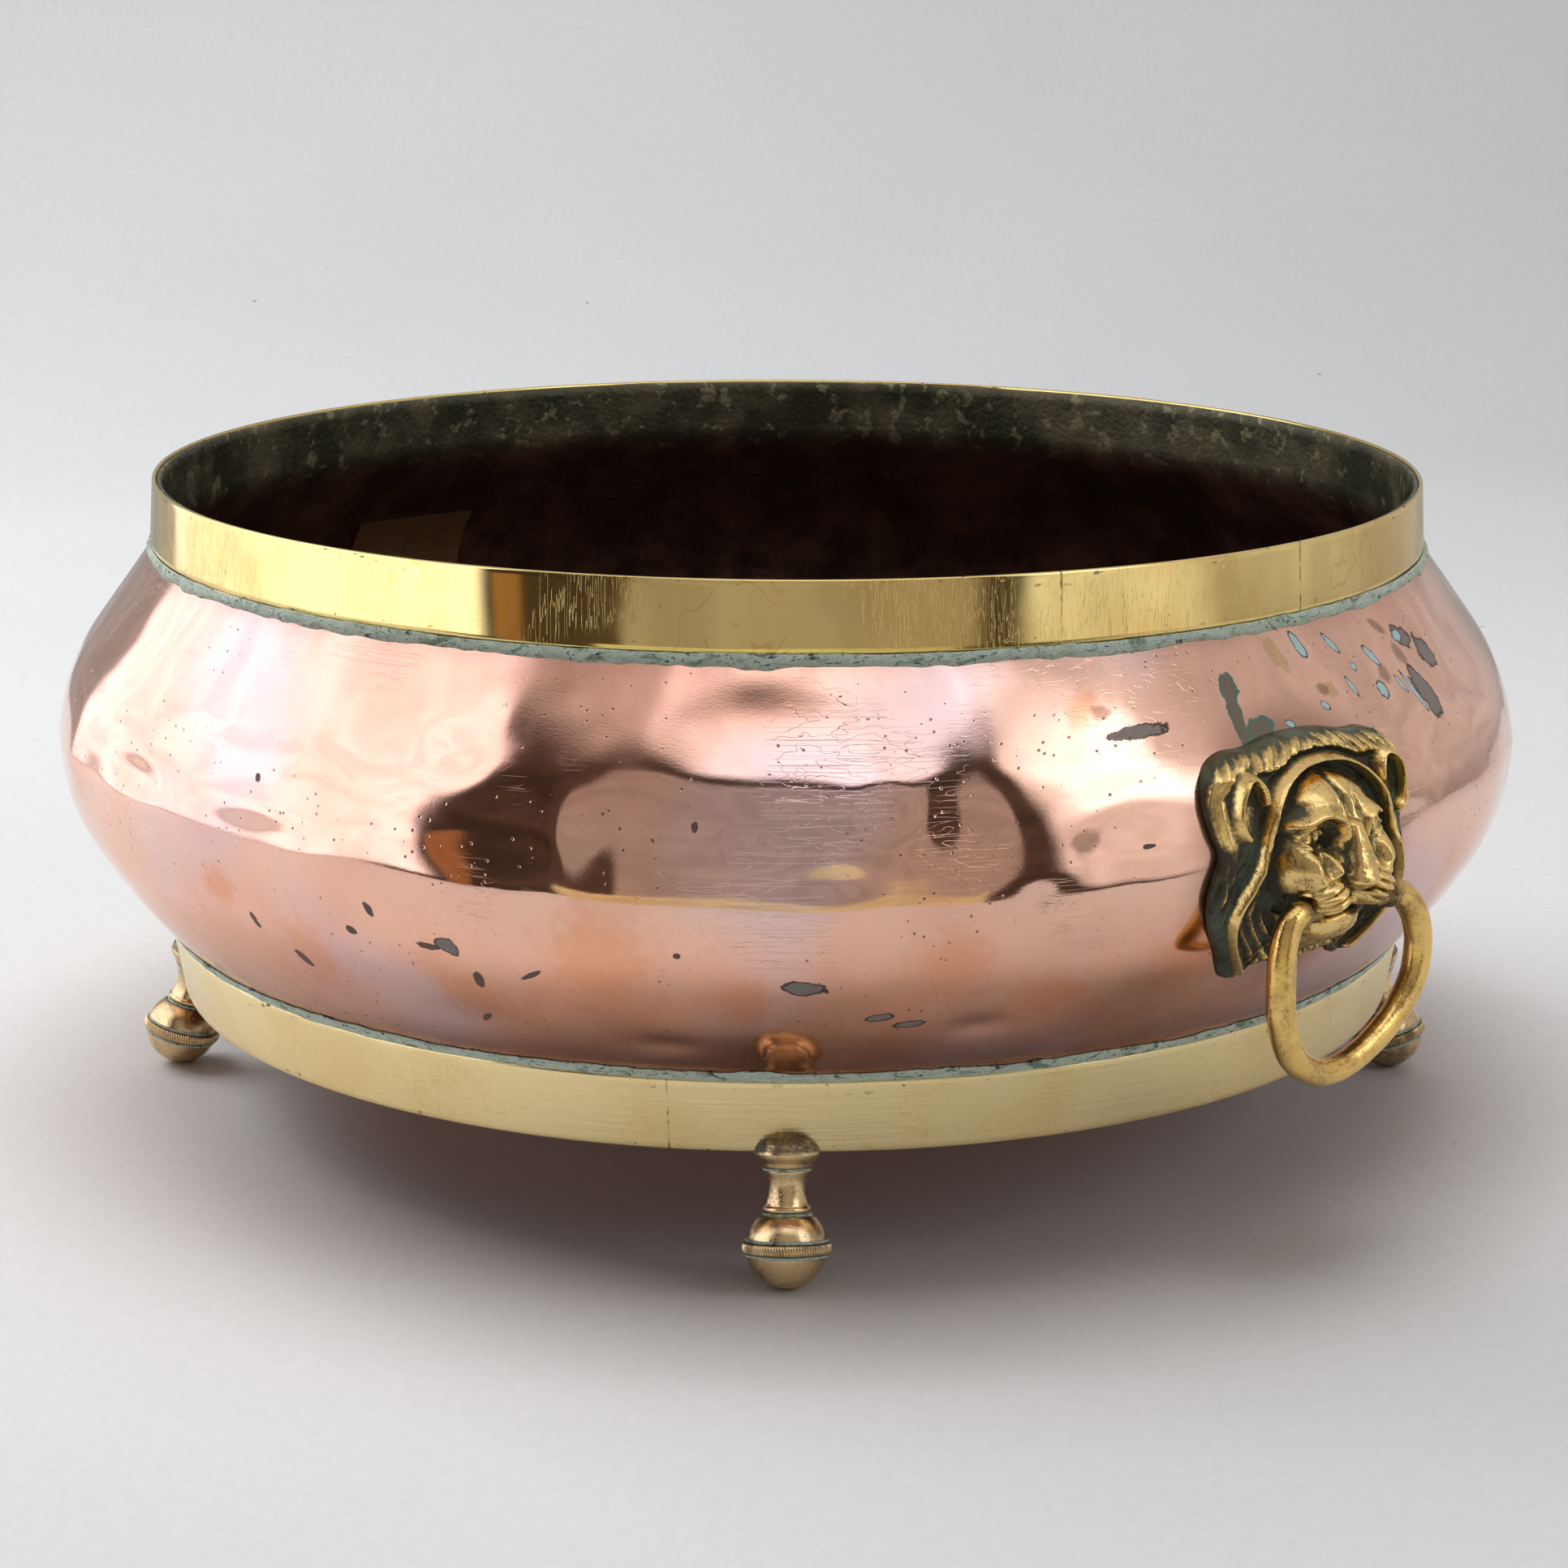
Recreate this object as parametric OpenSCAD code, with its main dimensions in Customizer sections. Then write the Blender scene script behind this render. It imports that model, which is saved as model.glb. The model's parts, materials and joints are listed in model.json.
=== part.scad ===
// Round-bellied copper planter on four ball feet, with a brass collar, a brass
// base band and two lion-mask ring handles.
// Millimetres. Z is up, the feet stand on z = 0, and +X runs through the masks.

/* [Bowl] */
// Widest diameter of the copper belly
belly_d = 420; // [340:1:520]
// Height from the ground to the top of the collar
pot_h = 182.6; // [165:0.5:240]
// Height of the belly's widest line above the top of the base band
lower_h = 55; // [40:0.5:75]
// How far the belly stands out past the neck, on the radius
shoulder_step = 28.2; // [15:0.1:40]
// How far the belly stands out past the seat of the base band, on the radius
base_step = 30.4; // [18:0.1:40]
// Radius of the round at the belly's widest line
belly_round = 50; // [30:1:52]
// Radius of the flatter curve below it
lower_round = 160; // [100:5:300]
// Radius of the corner between the wall and the flat bottom
floor_round = 35; // [20:1:45]
// Thickness of the copper sheet
copper_t = 1.3; // [0.8:0.1:2.5]

/* [Collar and base band] */
// Height of the brass collar
collar_h = 18.4; // [10:0.2:30]
// Thickness of the collar's strip
collar_t = 1.2; // [0.8:0.1:2.4]
// How much narrower the collar is at its top, on the radius
collar_lean = 1; // [0:0.1:4]
// How far the collar's edge stands above the copper lining
collar_lip = 0.7; // [0.2:0.1:3]
// Height of the base band
band_h = 20.1; // [10:0.2:30]
// Thickness of the base band's strip
band_t = 1.4; // [0.8:0.1:3]
// How much narrower the band is at its foot, on the radius
band_lean = 3.5; // [0:0.1:8]
// Height of the solder fillets
solder_h = 2.6; // [1:0.1:5]

/* [Feet] */
// Angle from the +X handle to the nearest foot
foot_turn = 39; // [20:1:70]
// Outward splay of each foot
foot_splay = 15; // [0:1:25]
// How far each foot's axis stands inside the middle of the band's edge
foot_inset = 1.6; // [0:0.1:3]
// Radius of the ball
ball_r = 10.6; // [8:0.1:16]
// Height of the cup below the band's edge
cup_h = 4.5; // [3:0.1:8]
// Radius of the cup
cup_r = 8.7; // [7:0.1:12]
// Length of the turned neck
neck_len = 11.1; // [8:0.1:20]
// Radius of the neck's waist
waist_r = 4.95; // [3.6:0.05:6.5]
// Radius of the bead under the neck
bead_r = 6.3; // [5:0.1:9]
// How far the milled ring stands out past the ball
milled_out = 0.7; // [0.2:0.1:2]
// Height of the milled ring
milled_h = 3.4; // [2:0.1:6]
// Radius of the tie rod inside the foot
rod_r = 2; // [1:0.1:3]
// Height worn flat under the ball
wear = 0.2; // [0.1:0.05:0.5]

/* [Lion masks] */
// Height of the mask's middle above the belly's widest line
mask_up = -0.4; // [-10:0.1:10]
// Radius of the mane
mane_r = 31; // [26:0.5:36]
// How far the mane's crown stands off the copper
mane_rise = 12; // [9:0.5:16]
// Distance of the ears from the middle, sideways
ear_y = 24; // [20:0.5:30]
// Distance of the ears from the middle, upwards
ear_z = 21; // [16:0.5:26]
// Radius of the ears
ear_r = 8.5; // [6:0.5:11]
// Half width of the muzzle between the ring's ends
muzzle_half = 14.5; // [12:0.1:18]
// Radius of the muzzle
muzzle_r = 7.5; // [6:0.1:9]
// Depth of the casting's hollow behind the mask
pocket_d = 6; // [2:0.5:8]
// Radius of the mask's studs
stud_r = 2.5; // [1.5:0.1:3.5]
// Distance of each stud from the mask's middle
stud_off = 12; // [8:0.5:16]
// Width across the flats of the stud nuts
nut_af = 8; // [7:0.5:13]
// Thickness of the stud nuts
nut_t = 3.2; // [2:0.1:6]
// Half width of the backing plate inside the bowl
plate_half = 22; // [14:1:30]
// Height of the backing plate
plate_h = 62; // [40:1:80]
// Thickness of the backing plate
plate_t = 1.5; // [1:0.1:3]

/* [Ring handles] */
// Radius of the ring's rod
ring_rod_r = 3.6; // [2.5:0.1:4.5]
// Half width of the ring, to the middle of its rod
ring_half = 25.2; // [22:0.1:34]
// Drop from the pivot to the middle of the rod at the bottom
ring_drop = 43; // [36:0.5:60]
// Radius of the bends that turn the ends into the mouth
ring_bend = 7; // [5:0.5:9]
// Height of the pivot below the mask's middle
pivot_down = 10; // [6:0.5:14]
// How far the pivot stands off the belly's widest line
pivot_out = 12; // [10:0.5:16]
// Radius of the pins at the ring's ends
pin_r = 2.4; // [1.5:0.1:3]
// Length of each pin
pin_len = 4.5; // [3:0.5:7]

/* [Fits] */
// Gap between sheets and castings that are soldered or bolted together
lap_gap = 0.05; // [0.02:0.01:0.2]
// Radial play of the ring's pins
pin_play = 0.06; // [0.02:0.01:0.09]
// End play of the ring between the mouth corners, each side
end_play = 0.25; // [0.1:0.05:1]
// Play of the studs in the copper wall and the plate
stud_play = 0.15; // [0.05:0.05:0.5]
// Width of the grooves between the turned pieces of a foot
groove = 0.35; // [0.2:0.05:0.8]

/* [Hidden] */
$fn = 96;
STEPS = 14;
CUT = 1;

FEET = ["front", "right", "back", "left"];
SIDES = ["right", "left"];

copper = [0.78, 0.5, 0.4];
brass = [0.83, 0.68, 0.36];
bright_brass = [0.9, 0.76, 0.42];
verdigris = [0.62, 0.74, 0.66];
steel = [0.55, 0.55, 0.53];

// --- heights -----------------------------------------------------------------
// The ball's middle lies this far down the foot's axis from the band's edge.
ball_top_s = cup_h + neck_len + 2 * groove;
ball_cut_r = bead_r + 0.3;
ball_mid_s = ball_top_s + sqrt(ball_r * ball_r - ball_cut_r * ball_cut_r);
milled_r = ball_r + milled_out;
band_z0 = ball_mid_s * cos(foot_splay) + ball_r - wear;
band_z1 = band_z0 + band_h;
belly_z = band_z1 + lower_h;
collar_z0 = pot_h - collar_h;

// --- the bowl's outline: arcs that run into each other -------------------------
belly_r = belly_d / 2;
neck_r = belly_r - shoulder_step;
seat_r = belly_r - base_step;
c1 = [belly_r - belly_round, belly_z];

// Angle at which a straight line from the neck's foot touches the belly's round.
neck_v = [neck_r, collar_z0] - c1;
shoulder_a = atan2(neck_v[1], neck_v[0]) - acos(belly_round / norm(neck_v));

// The lower curve touches the belly's round from outside its middle and passes
// through the seat of the base band.
seat_v = [seat_r, band_z1] - c1;
round_gap = lower_round - belly_round;
lower_k = (lower_round * lower_round - round_gap * round_gap - seat_v * seat_v) / (2 * round_gap);
lower_a = atan2(-seat_v[1], seat_v[0]) - acos(lower_k / norm(seat_v));
c2 = c1 - round_gap * [cos(lower_a), -sin(lower_a)];
seat_a = asin((c2[1] - band_z1) / lower_round);
c3 = c2 + (lower_round - floor_round) * [cos(seat_a), -sin(seat_a)];
bowl_floor_z = c3[1] - floor_round;

function arc(c, r, a0, a1, n = STEPS) =
  [for (i = [0:n]) c + r * [cos(a0 + (a1 - a0) * i / n), sin(a0 + (a1 - a0) * i / n)]];

// The bowl's outline from the bottom's middle to the foot of the neck, moved
// inwards by d.
function wall_line(d) = concat(
  [[0, bowl_floor_z + d]],
  arc(c3, floor_round - d, -90, -seat_a),
  arc(c2, lower_round - d, -seat_a, -lower_a),
  arc(c1, belly_round - d, -lower_a, shoulder_a),
  [neck_foot(d)]
);
// Where the shoulder's straight line meets the neck, moved inwards by d.
function neck_foot(d) =
  let (t = c1 + (belly_round - d) * [cos(shoulder_a), sin(shoulder_a)])
  [neck_r - d, t[1] + (t[0] - neck_r + d) / tan(shoulder_a)];
// Outside radius of the lower wall at a height.
function lower_wall_r(z) = c2[0] + sqrt(lower_round * lower_round - (z - c2[1]) * (z - c2[1]));
// Outside radius of the shoulder's straight line at a height.
function shoulder_r(z) = neck_r + (collar_z0 - z) * tan(shoulder_a);
// Radius of the neck at a height, following the collar's lean.
function neck_line_r(z) = neck_r - collar_lean * (z - collar_z0) / collar_h;
// Radius of the seat side of the base band at a height.
function band_line_r(z) = seat_r + lap_gap - band_lean * (band_z1 - z) / band_h;

module bowl_solid(d) {
  rotate_extrude($fn = 180) polygon(concat(wall_line(d), [[0, neck_foot(d)[1]]]));
}

// --- copper bowl ----------------------------------------------------------------
module copper_bowl() {
  top_z = pot_h - collar_lip;
  lining = [
    [neck_line_r(top_z), top_z], [neck_line_r(top_z) - copper_t, top_z]
  ];
  inside = wall_line(copper_t);
  color(copper) difference() {
    rotate_extrude($fn = 180) polygon(concat(
      wall_line(0), lining, [for (i = [len(inside) - 1:-1:0]) inside[i]]
    ));
    at_sides() stud_axes() cylinder(r = stud_r + stud_play, h = 30, center = true);
  }
}

// --- brass strips and their solder ------------------------------------------------
module rim_collar() {
  edge = collar_t / 2;
  top = [neck_line_r(pot_h) + lap_gap + edge, pot_h - edge];
  color(bright_brass) rotate_extrude($fn = 180) polygon(concat(
    [
      [neck_line_r(collar_z0) + lap_gap, collar_z0],
      [neck_line_r(collar_z0) + lap_gap + collar_t, collar_z0]
    ],
    arc(top, edge, 0, 180, 8)
  ));
}

module collar_solder() {
  out_r = neck_r + lap_gap + collar_t;
  low_z = collar_z0 - solder_h;
  color(verdigris) rotate_extrude($fn = 180) polygon([
    [neck_r + lap_gap, collar_z0 - lap_gap],
    [shoulder_r(low_z) + lap_gap, low_z],
    [out_r + 0.45 * (shoulder_r(low_z) - out_r) + 0.5, collar_z0 - 0.35 * solder_h],
    [out_r + 0.1, collar_z0 - lap_gap]
  ]);
}

module base_band() {
  edge = band_t / 2;
  bottom = [band_line_r(band_z0 + edge) + edge, band_z0 + edge];
  color(brass) rotate_extrude($fn = 180) polygon(concat(
    [[band_line_r(band_z1) + band_t, band_z1], [band_line_r(band_z1), band_z1]],
    arc(bottom, edge, -180, 0, 8)
  ));
}

module base_solder() {
  rise = [for (i = [0:4]) band_z1 + lap_gap + solder_h * i / 4];
  color(verdigris) rotate_extrude($fn = 180) polygon(concat(
    [[band_line_r(band_z1) + band_t, band_z1 + lap_gap]],
    [[lower_wall_r(band_z1 + 0.5 * solder_h) + 1.1, band_z1 + 0.45 * solder_h]],
    [for (i = [4:-1:0]) [lower_wall_r(rise[i]) + lap_gap, rise[i]]]
  ));
}

// --- feet -------------------------------------------------------------------------
// Puts a foot's pieces in place: the foot's axis is Z, zero at the band's lower edge.
module at_foot(i) {
  rotate(-foot_turn + 90 * i)
    translate([band_line_r(band_z0) + band_t / 2 - foot_inset, 0, band_z0])
      rotate([0, -foot_splay, 0]) children();
}

// Space that the base band's strip takes, with its play.
module band_slot() {
  rotate_extrude($fn = 180) polygon([
    [band_line_r(band_z0) - lap_gap, band_z0 - lap_gap],
    [band_line_r(band_z0) + band_t + lap_gap, band_z0 - lap_gap],
    [band_line_r(band_z1) + band_t + lap_gap, band_z1],
    [band_line_r(band_z1) - lap_gap, band_z1]
  ]);
}

// Domed cup, sawn across its top to stand astride the band.
module foot_cup(i) {
  dome = arc([0, 0], cup_r, 90, 0, 10);
  color(brass) difference() {
    at_foot(i) difference() {
      rotate_extrude() polygon(concat(
        [for (p = dome) [p[0], p[1] * 0.65]],
        [
          [cup_r, -1.2], [cup_r - 1, -0.55 * cup_h], [cup_r - 1.9, -0.9 * cup_h],
          [cup_r - 2.3, -cup_h], [0, -cup_h]
        ]
      ));
      translate([0, 0, -cup_h - CUT]) cylinder(r = rod_r + lap_gap, h = cup_h - 1.5 + CUT);
    }
    band_slot();
  }
}

// Waisted neck with a bead at its lower end.
module foot_neck(i) {
  top = -cup_h - groove;
  top_r = cup_r - 2.7;
  waist_s = 0.38 * neck_len;
  bead_s = neck_len - 1.3;
  color(brass) at_foot(i) translate([0, 0, top]) difference() {
    rotate_extrude() polygon(concat(
      [[0, groove], [top_r - 0.9, groove], [top_r - 0.9, 0], [top_r, 0]],
      [for (k = [1:8]) let (u = k / 8)
        [waist_r + (top_r - waist_r) * (1 - u) * (1 - u), -waist_s * u]],
      [for (k = [1:8]) let (u = k / 8)
        [waist_r + (bead_r - 0.7 - waist_r) * u * u, -waist_s - (bead_s - 0.9 - waist_s) * u]],
      arc([bead_r - 0.9, -bead_s], 0.9, 60, -60, 6),
      [[bead_r - 0.9, -neck_len], [0, -neck_len]]
    ));
    translate([0, 0, -neck_len - CUT]) cylinder(r = rod_r + lap_gap, h = neck_len + groove + 2 * CUT);
  }
}

// Part of the ball between two distances from its middle, with small shoulders
// that leave the grooves.
module ball_part(from, to, tip = true) {
  a0 = asin(from / ball_r);
  a1 = tip ? asin(to / ball_r) : -90;
  rotate_extrude() polygon(concat([[0, from]], arc([0, 0], ball_r, a0, a1, 20), [[0, to]]));
}

module foot_ball_top(i) {
  high = ball_mid_s - ball_top_s;
  low = milled_h / 2 + groove;
  color(brass) at_foot(i) translate([0, 0, -ball_mid_s]) difference() {
    union() {
      ball_part(high, low);
      cylinder(r = ball_cut_r - 1, h = high + groove);
      cylinder(r = ball_r - 1, h = high / 2);
    }
    translate([0, 0, -ball_r]) cylinder(r = 2 * ball_r, h = ball_r + milled_h / 2);
    translate([0, 0, -CUT]) cylinder(r = rod_r + lap_gap, h = ball_r + 2 * CUT);
  }
}

module foot_milled_ring(i) {
  edge = 0.5;
  color(bright_brass) at_foot(i) translate([0, 0, -ball_mid_s]) difference() {
    rotate_extrude() polygon([
      [0, -milled_h / 2], [milled_r - 2 * edge, -milled_h / 2], [milled_r, -milled_h / 2 + edge],
      [milled_r, milled_h / 2 - edge], [milled_r - 2 * edge, milled_h / 2], [0, milled_h / 2]
    ]);
    cylinder(r = rod_r + lap_gap, h = 2 * milled_h, center = true);
  }
}

// Lower half of the ball, worn flat where it stands.
module foot_ball(i) {
  high = -milled_h / 2 - groove;
  color(brass) intersection() {
    at_foot(i) translate([0, 0, -ball_mid_s]) difference() {
      union() {
        ball_part(high, -ball_r, false);
        translate([0, 0, high - 1]) cylinder(r = ball_r - 1, h = groove + 1);
      }
      translate([0, 0, high - rod_r - 3]) cylinder(r = rod_r + lap_gap, h = ball_r);
    }
    cylinder(r = belly_r + 50, h = pot_h);
  }
}

module foot_tie_rod(i) {
  rod_top = -1.6;
  rod_bottom = -ball_mid_s - milled_h / 2 - groove - rod_r - 2.8;
  color(steel) at_foot(i) translate([0, 0, rod_bottom]) cylinder(r = rod_r, h = rod_top - rod_bottom);
}

// --- lion masks ---------------------------------------------------------------------
mask_z = belly_z + mask_up;
pivot_x = belly_r + pivot_out;
pivot_z = mask_z - pivot_down;

module at_side(i) {
  rotate(180 * i) children();
}

module at_sides() {
  for (i = [0, 1]) at_side(i) children();
}

// Lays a child's Z axis along the studs, zero at the belly's widest line.
module stud_axes() {
  for (s = [-1, 1]) translate([belly_r, 0, mask_z + s * stud_off]) rotate([0, 90, 0]) children();
}

module mask_block() {
  mane = arc([0, 0], mane_r, 90, 0, 12);
  translate([belly_r, 0, mask_z]) {
    // mane, as a low dome behind the face
    rotate([0, 90, 0]) rotate_extrude() polygon(concat(
      [[0, -14]], [[mane_r, -14]], [for (k = [12:-1:0]) [mane[k][0], mane[k][1] * mane_rise / mane_r]]
    ));
    for (s = [-1, 1]) {
      // ears, dished
      translate([-3, s * ear_y, ear_z]) difference() {
        sphere(r = ear_r);
        translate([ear_r * 0.8, s * 1.5, 0.5]) sphere(r = ear_r * 0.62);
      }
      // brows
      translate([mane_rise - 4, s * 7, 11]) sphere(r = 9);
      // cheeks
      translate([mane_rise - 4, s * 11.5, -1.5]) sphere(r = 7.5);
      // falling locks at the lower corners
      translate([-12, s * 22, -23]) sphere(r = 11);
      translate([-7, s * 22, -23]) rotate([0, 10, 0]) cylinder(r = 8, h = 22);
    }
    // nose, from between the brows to its broad tip
    translate([mane_rise - 3, 0, -5]) rotate([0, -8, 0]) cylinder(r1 = 5.6, r2 = 3.8, h = 20);
    translate([mane_rise + 2, 0, -4]) sphere(r = 5.4);
    // chin
    translate([-1, 0, -20]) sphere(r = 9);
  }
  // muzzle, which carries the ring
  translate([pivot_x - 1.2, 0, pivot_z]) rotate([90, 0, 0])
    cylinder(r = muzzle_r, h = 2 * muzzle_half, center = true);
}

module lion_mask(i) {
  pocket = arc([0, 0], mane_r * 0.62, 90, 0, 8);
  color(brass) at_side(i) difference() {
    mask_block();
    // back, lying against the copper
    bowl_solid(-lap_gap);
    translate([0, 0, -pot_h]) cylinder(r = belly_r * 0.8, h = 3 * pot_h);
    // hollow of the casting, with the stud bosses left standing
    difference() {
      translate([belly_r, 0, mask_z + 3]) rotate([0, 90, 0]) rotate_extrude() polygon(concat(
        [[0, -12], [mane_r * 0.62, -12]],
        [for (k = [8:-1:0]) [pocket[k][0], pocket[k][1] * pocket_d / (mane_r * 0.62)]]
      ));
      stud_axes() cylinder(r = stud_r + 2.5, h = 40, center = true);
    }
    stud_axes() translate([0, 0, -20]) cylinder(r = stud_r + lap_gap, h = 25);
    // mouth corners, bored for the ring's pins
    for (s = [-1, 1]) translate([pivot_x, s * (muzzle_half - pin_len - end_play), pivot_z])
      rotate([-90 * s, 0, 0]) cylinder(r = pin_r + pin_play, h = pin_len + end_play + CUT + 30);
    // room for the ring's ends to swing beside the muzzle
    for (s = [-1, 1]) translate([pivot_x, s * muzzle_half, pivot_z]) rotate([-90 * s, 0, 0])
      cylinder(r = ring_rod_r + 1.2, h = 30);
  }
}

module mask_studs(i) {
  reach = copper_t + plate_t + nut_t + 4;
  color(steel) at_side(i) stud_axes() translate([0, 0, -reach - 1])
    cylinder(r = stud_r, h = reach + 5.9);
}

module backing_plate(i) {
  color(brass) at_side(i) difference() {
    intersection() {
      bowl_solid(copper_t + 2 * lap_gap);
      translate([0, -plate_half, mask_z - plate_h / 2]) cube([belly_r, 2 * plate_half, plate_h]);
    }
    bowl_solid(copper_t + 2 * lap_gap + plate_t);
    stud_axes() cylinder(r = stud_r + stud_play, h = 40, center = true);
  }
}

module stud_nuts(i) {
  color(steel) at_side(i) difference() {
    stud_axes() translate([0, 0, -copper_t - plate_t - nut_t - 3.4]) difference() {
      cylinder(r = nut_af / sqrt(3), h = nut_t + 3, $fn = 6);
      translate([0, 0, -CUT]) cylinder(r = stud_r + lap_gap, h = nut_t + 6);
    }
    difference() {
      cylinder(r = belly_r + 20, h = pot_h);
      bowl_solid(copper_t + plate_t + 3 * lap_gap);
    }
  }
}

// --- ring handles ---------------------------------------------------------------------
// The ring hangs from its two pins: a stirrup with a round bottom and bends that
// turn its ends into the mouth's corners.
module ring_handle(i) {
  bottom_r = ring_half;
  side_top = -ring_bend;
  side_low = -(ring_drop - bottom_r);
  end_y = muzzle_half + end_play;
  color(brass) at_side(i) translate([pivot_x, 0, pivot_z]) {
    // round bottom
    translate([0, 0, side_low]) rotate([0, 90, 0]) rotate([0, 0, -90])
      rotate_extrude(angle = 180) translate([bottom_r, 0]) circle(r = ring_rod_r, $fn = 48);
    for (s = [-1, 1]) {
      // straight sides
      translate([0, s * ring_half, side_low]) cylinder(r = ring_rod_r, h = side_top - side_low, $fn = 48);
      // bends
      translate([0, s * (ring_half - ring_bend), side_top]) rotate([90, 0, 90])
        rotate([0, 0, s > 0 ? 0 : 90])
          rotate_extrude(angle = 90) translate([ring_bend, 0]) circle(r = ring_rod_r, $fn = 48);
      // ends, with their pins
      translate([0, s * end_y, 0]) rotate([-90 * s, 0, 0])
        cylinder(r = ring_rod_r, h = ring_half - ring_bend - end_y, $fn = 48);
      translate([0, s * (end_y - pin_len), 0]) rotate([-90 * s, 0, 0])
        cylinder(r = pin_r, h = pin_len + 1, $fn = 48);
    }
  }
}

copper_bowl();
rim_collar();
collar_solder();
base_band();
base_solder();

for (i = [0:3]) {
  foot_cup(i);
  foot_neck(i);
  foot_ball_top(i);
  foot_milled_ring(i);
  foot_ball(i);
  foot_tie_rod(i);
}

for (i = [0:1]) {
  lion_mask(i);
  mask_studs(i);
  backing_plate(i);
  stud_nuts(i);
  ring_handle(i);
}
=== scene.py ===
"""Looks of a round-bellied copper planter with brass fittings.

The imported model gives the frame: where the bowl, the collar, the band, the feet, the
lion masks and the ring handles are. Each class below is one sub-assembly. It works its
surfaces out with numpy, in millimetres, and dresses them in its own finishes.
"""

from __future__ import annotations

import json
import logging
import math
from dataclasses import dataclass, field
from enum import Enum
from typing import Any, Sequence

import bpy
import numpy as np
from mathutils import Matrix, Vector

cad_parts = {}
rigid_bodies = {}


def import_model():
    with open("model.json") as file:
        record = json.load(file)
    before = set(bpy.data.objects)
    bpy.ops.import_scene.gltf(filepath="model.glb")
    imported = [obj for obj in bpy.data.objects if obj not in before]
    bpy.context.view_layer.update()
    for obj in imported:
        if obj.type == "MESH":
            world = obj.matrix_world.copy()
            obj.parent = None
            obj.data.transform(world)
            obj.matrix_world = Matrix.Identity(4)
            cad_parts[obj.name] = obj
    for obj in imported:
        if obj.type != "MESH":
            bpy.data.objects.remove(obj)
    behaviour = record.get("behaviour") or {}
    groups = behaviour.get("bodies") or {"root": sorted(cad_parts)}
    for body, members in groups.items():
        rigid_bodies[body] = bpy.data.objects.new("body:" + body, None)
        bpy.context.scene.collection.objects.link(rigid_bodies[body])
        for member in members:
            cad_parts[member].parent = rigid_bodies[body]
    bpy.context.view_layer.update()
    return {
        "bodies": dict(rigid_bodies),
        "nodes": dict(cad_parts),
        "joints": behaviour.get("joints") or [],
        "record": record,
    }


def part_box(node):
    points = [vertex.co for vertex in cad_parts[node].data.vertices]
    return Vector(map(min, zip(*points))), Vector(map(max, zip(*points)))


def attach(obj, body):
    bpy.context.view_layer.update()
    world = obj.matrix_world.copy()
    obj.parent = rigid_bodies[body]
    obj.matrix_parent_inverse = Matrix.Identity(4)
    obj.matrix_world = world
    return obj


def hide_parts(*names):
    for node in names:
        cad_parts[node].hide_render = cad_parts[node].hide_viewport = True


LOG = logging.getLogger("planter")
MM = 0.001
TAU = 2.0 * math.pi
SEED = 1887

Array = np.ndarray
Colour = tuple[float, float, float]


class Side(Enum):
    """The two handles, by the half turn about the pot's axis that places each one."""

    RIGHT = ("right", 0.0)
    LEFT = ("left", math.pi)

    @property
    def word(self) -> str:
        """Word used in the names of this side's pieces."""
        return self.value[0]

    @property
    def turn(self) -> float:
        """Angle about the pot's axis, in radians."""
        return self.value[1]


class Foot(Enum):
    """The four feet, in the order in which they stand round the pot."""

    FRONT = "front"
    RIGHT = "right"
    BACK = "back"
    LEFT = "left"


# --------------------------------------------------------------------------------------
# Number helpers
# --------------------------------------------------------------------------------------


def smooth_step(value: Array, low: float, high: float) -> Array:
    """Rises from 0 at low to 1 at high along the cubic 3t^2 - 2t^3.

    Args:
        value: Numbers to carry through the step.
        low: Where the result is 0. It may be more than high, for a falling step.
        high: Where the result is 1.

    Returns:
        An array of the same shape, from 0 to 1.
    """
    t = np.clip((value - low) / (high - low), 0.0, 1.0)
    return t * t * (3.0 - 2.0 * t)


def soft_max(a: Array, b: Array, blend: float) -> Array:
    """Larger of a and b, rounded where they cross: half of a + b + sqrt((a - b)^2 + blend^2)."""
    return 0.5 * (a + b + np.sqrt((a - b) ** 2 + blend * blend))


def spline(points: Sequence[tuple[float, ...]], count: int, closed: bool = False) -> Array:
    """Smooth curve through points, as Catmull-Rom cubics.

    Each stretch between two points p1 and p2, with neighbours p0 and p3, is
    p1 + t (p2 - p0) / 2 + t^2 (2 p0 - 5 p1 + 4 p2 - p3) / 2 + t^3 (3 p1 - p0 - 3 p2 + p3) / 2.

    Args:
        points: The points, in order.
        count: Number of samples to return.
        closed: Whether the curve runs back to its start.

    Returns:
        An array of count rows.
    """
    p = np.asarray(points, float)
    if closed:
        p = np.vstack([p[-1], p, p[0], p[1]])
    else:
        p = np.vstack([2 * p[0] - p[1], p, 2 * p[-1] - p[-2]])
    spans = len(p) - 3
    at = np.linspace(0.0, spans, count, endpoint=not closed)
    k = np.minimum(at.astype(int), spans - 1)
    t = (at - k)[:, None]
    p0, p1, p2, p3 = p[k], p[k + 1], p[k + 2], p[k + 3]
    return 0.5 * (
        2 * p1 + t * (p2 - p0) + t**2 * (2 * p0 - 5 * p1 + 4 * p2 - p3) + t**3 * (3 * p1 - p0 - 3 * p2 + p3)
    )


def even_spacing(curve: Array, count: int) -> Array:
    """Points at even distances along a curve, ends kept.

    Args:
        curve: Points along the curve, one a row.
        count: Number of points to return.

    Returns:
        An array of count rows.
    """
    steps = np.linalg.norm(np.diff(curve, axis=0), axis=1)
    along = np.concatenate([[0.0], np.cumsum(steps)])
    at = np.linspace(0.0, along[-1], count)
    return np.stack([np.interp(at, along, curve[:, c]) for c in range(curve.shape[1])], axis=1)


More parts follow.
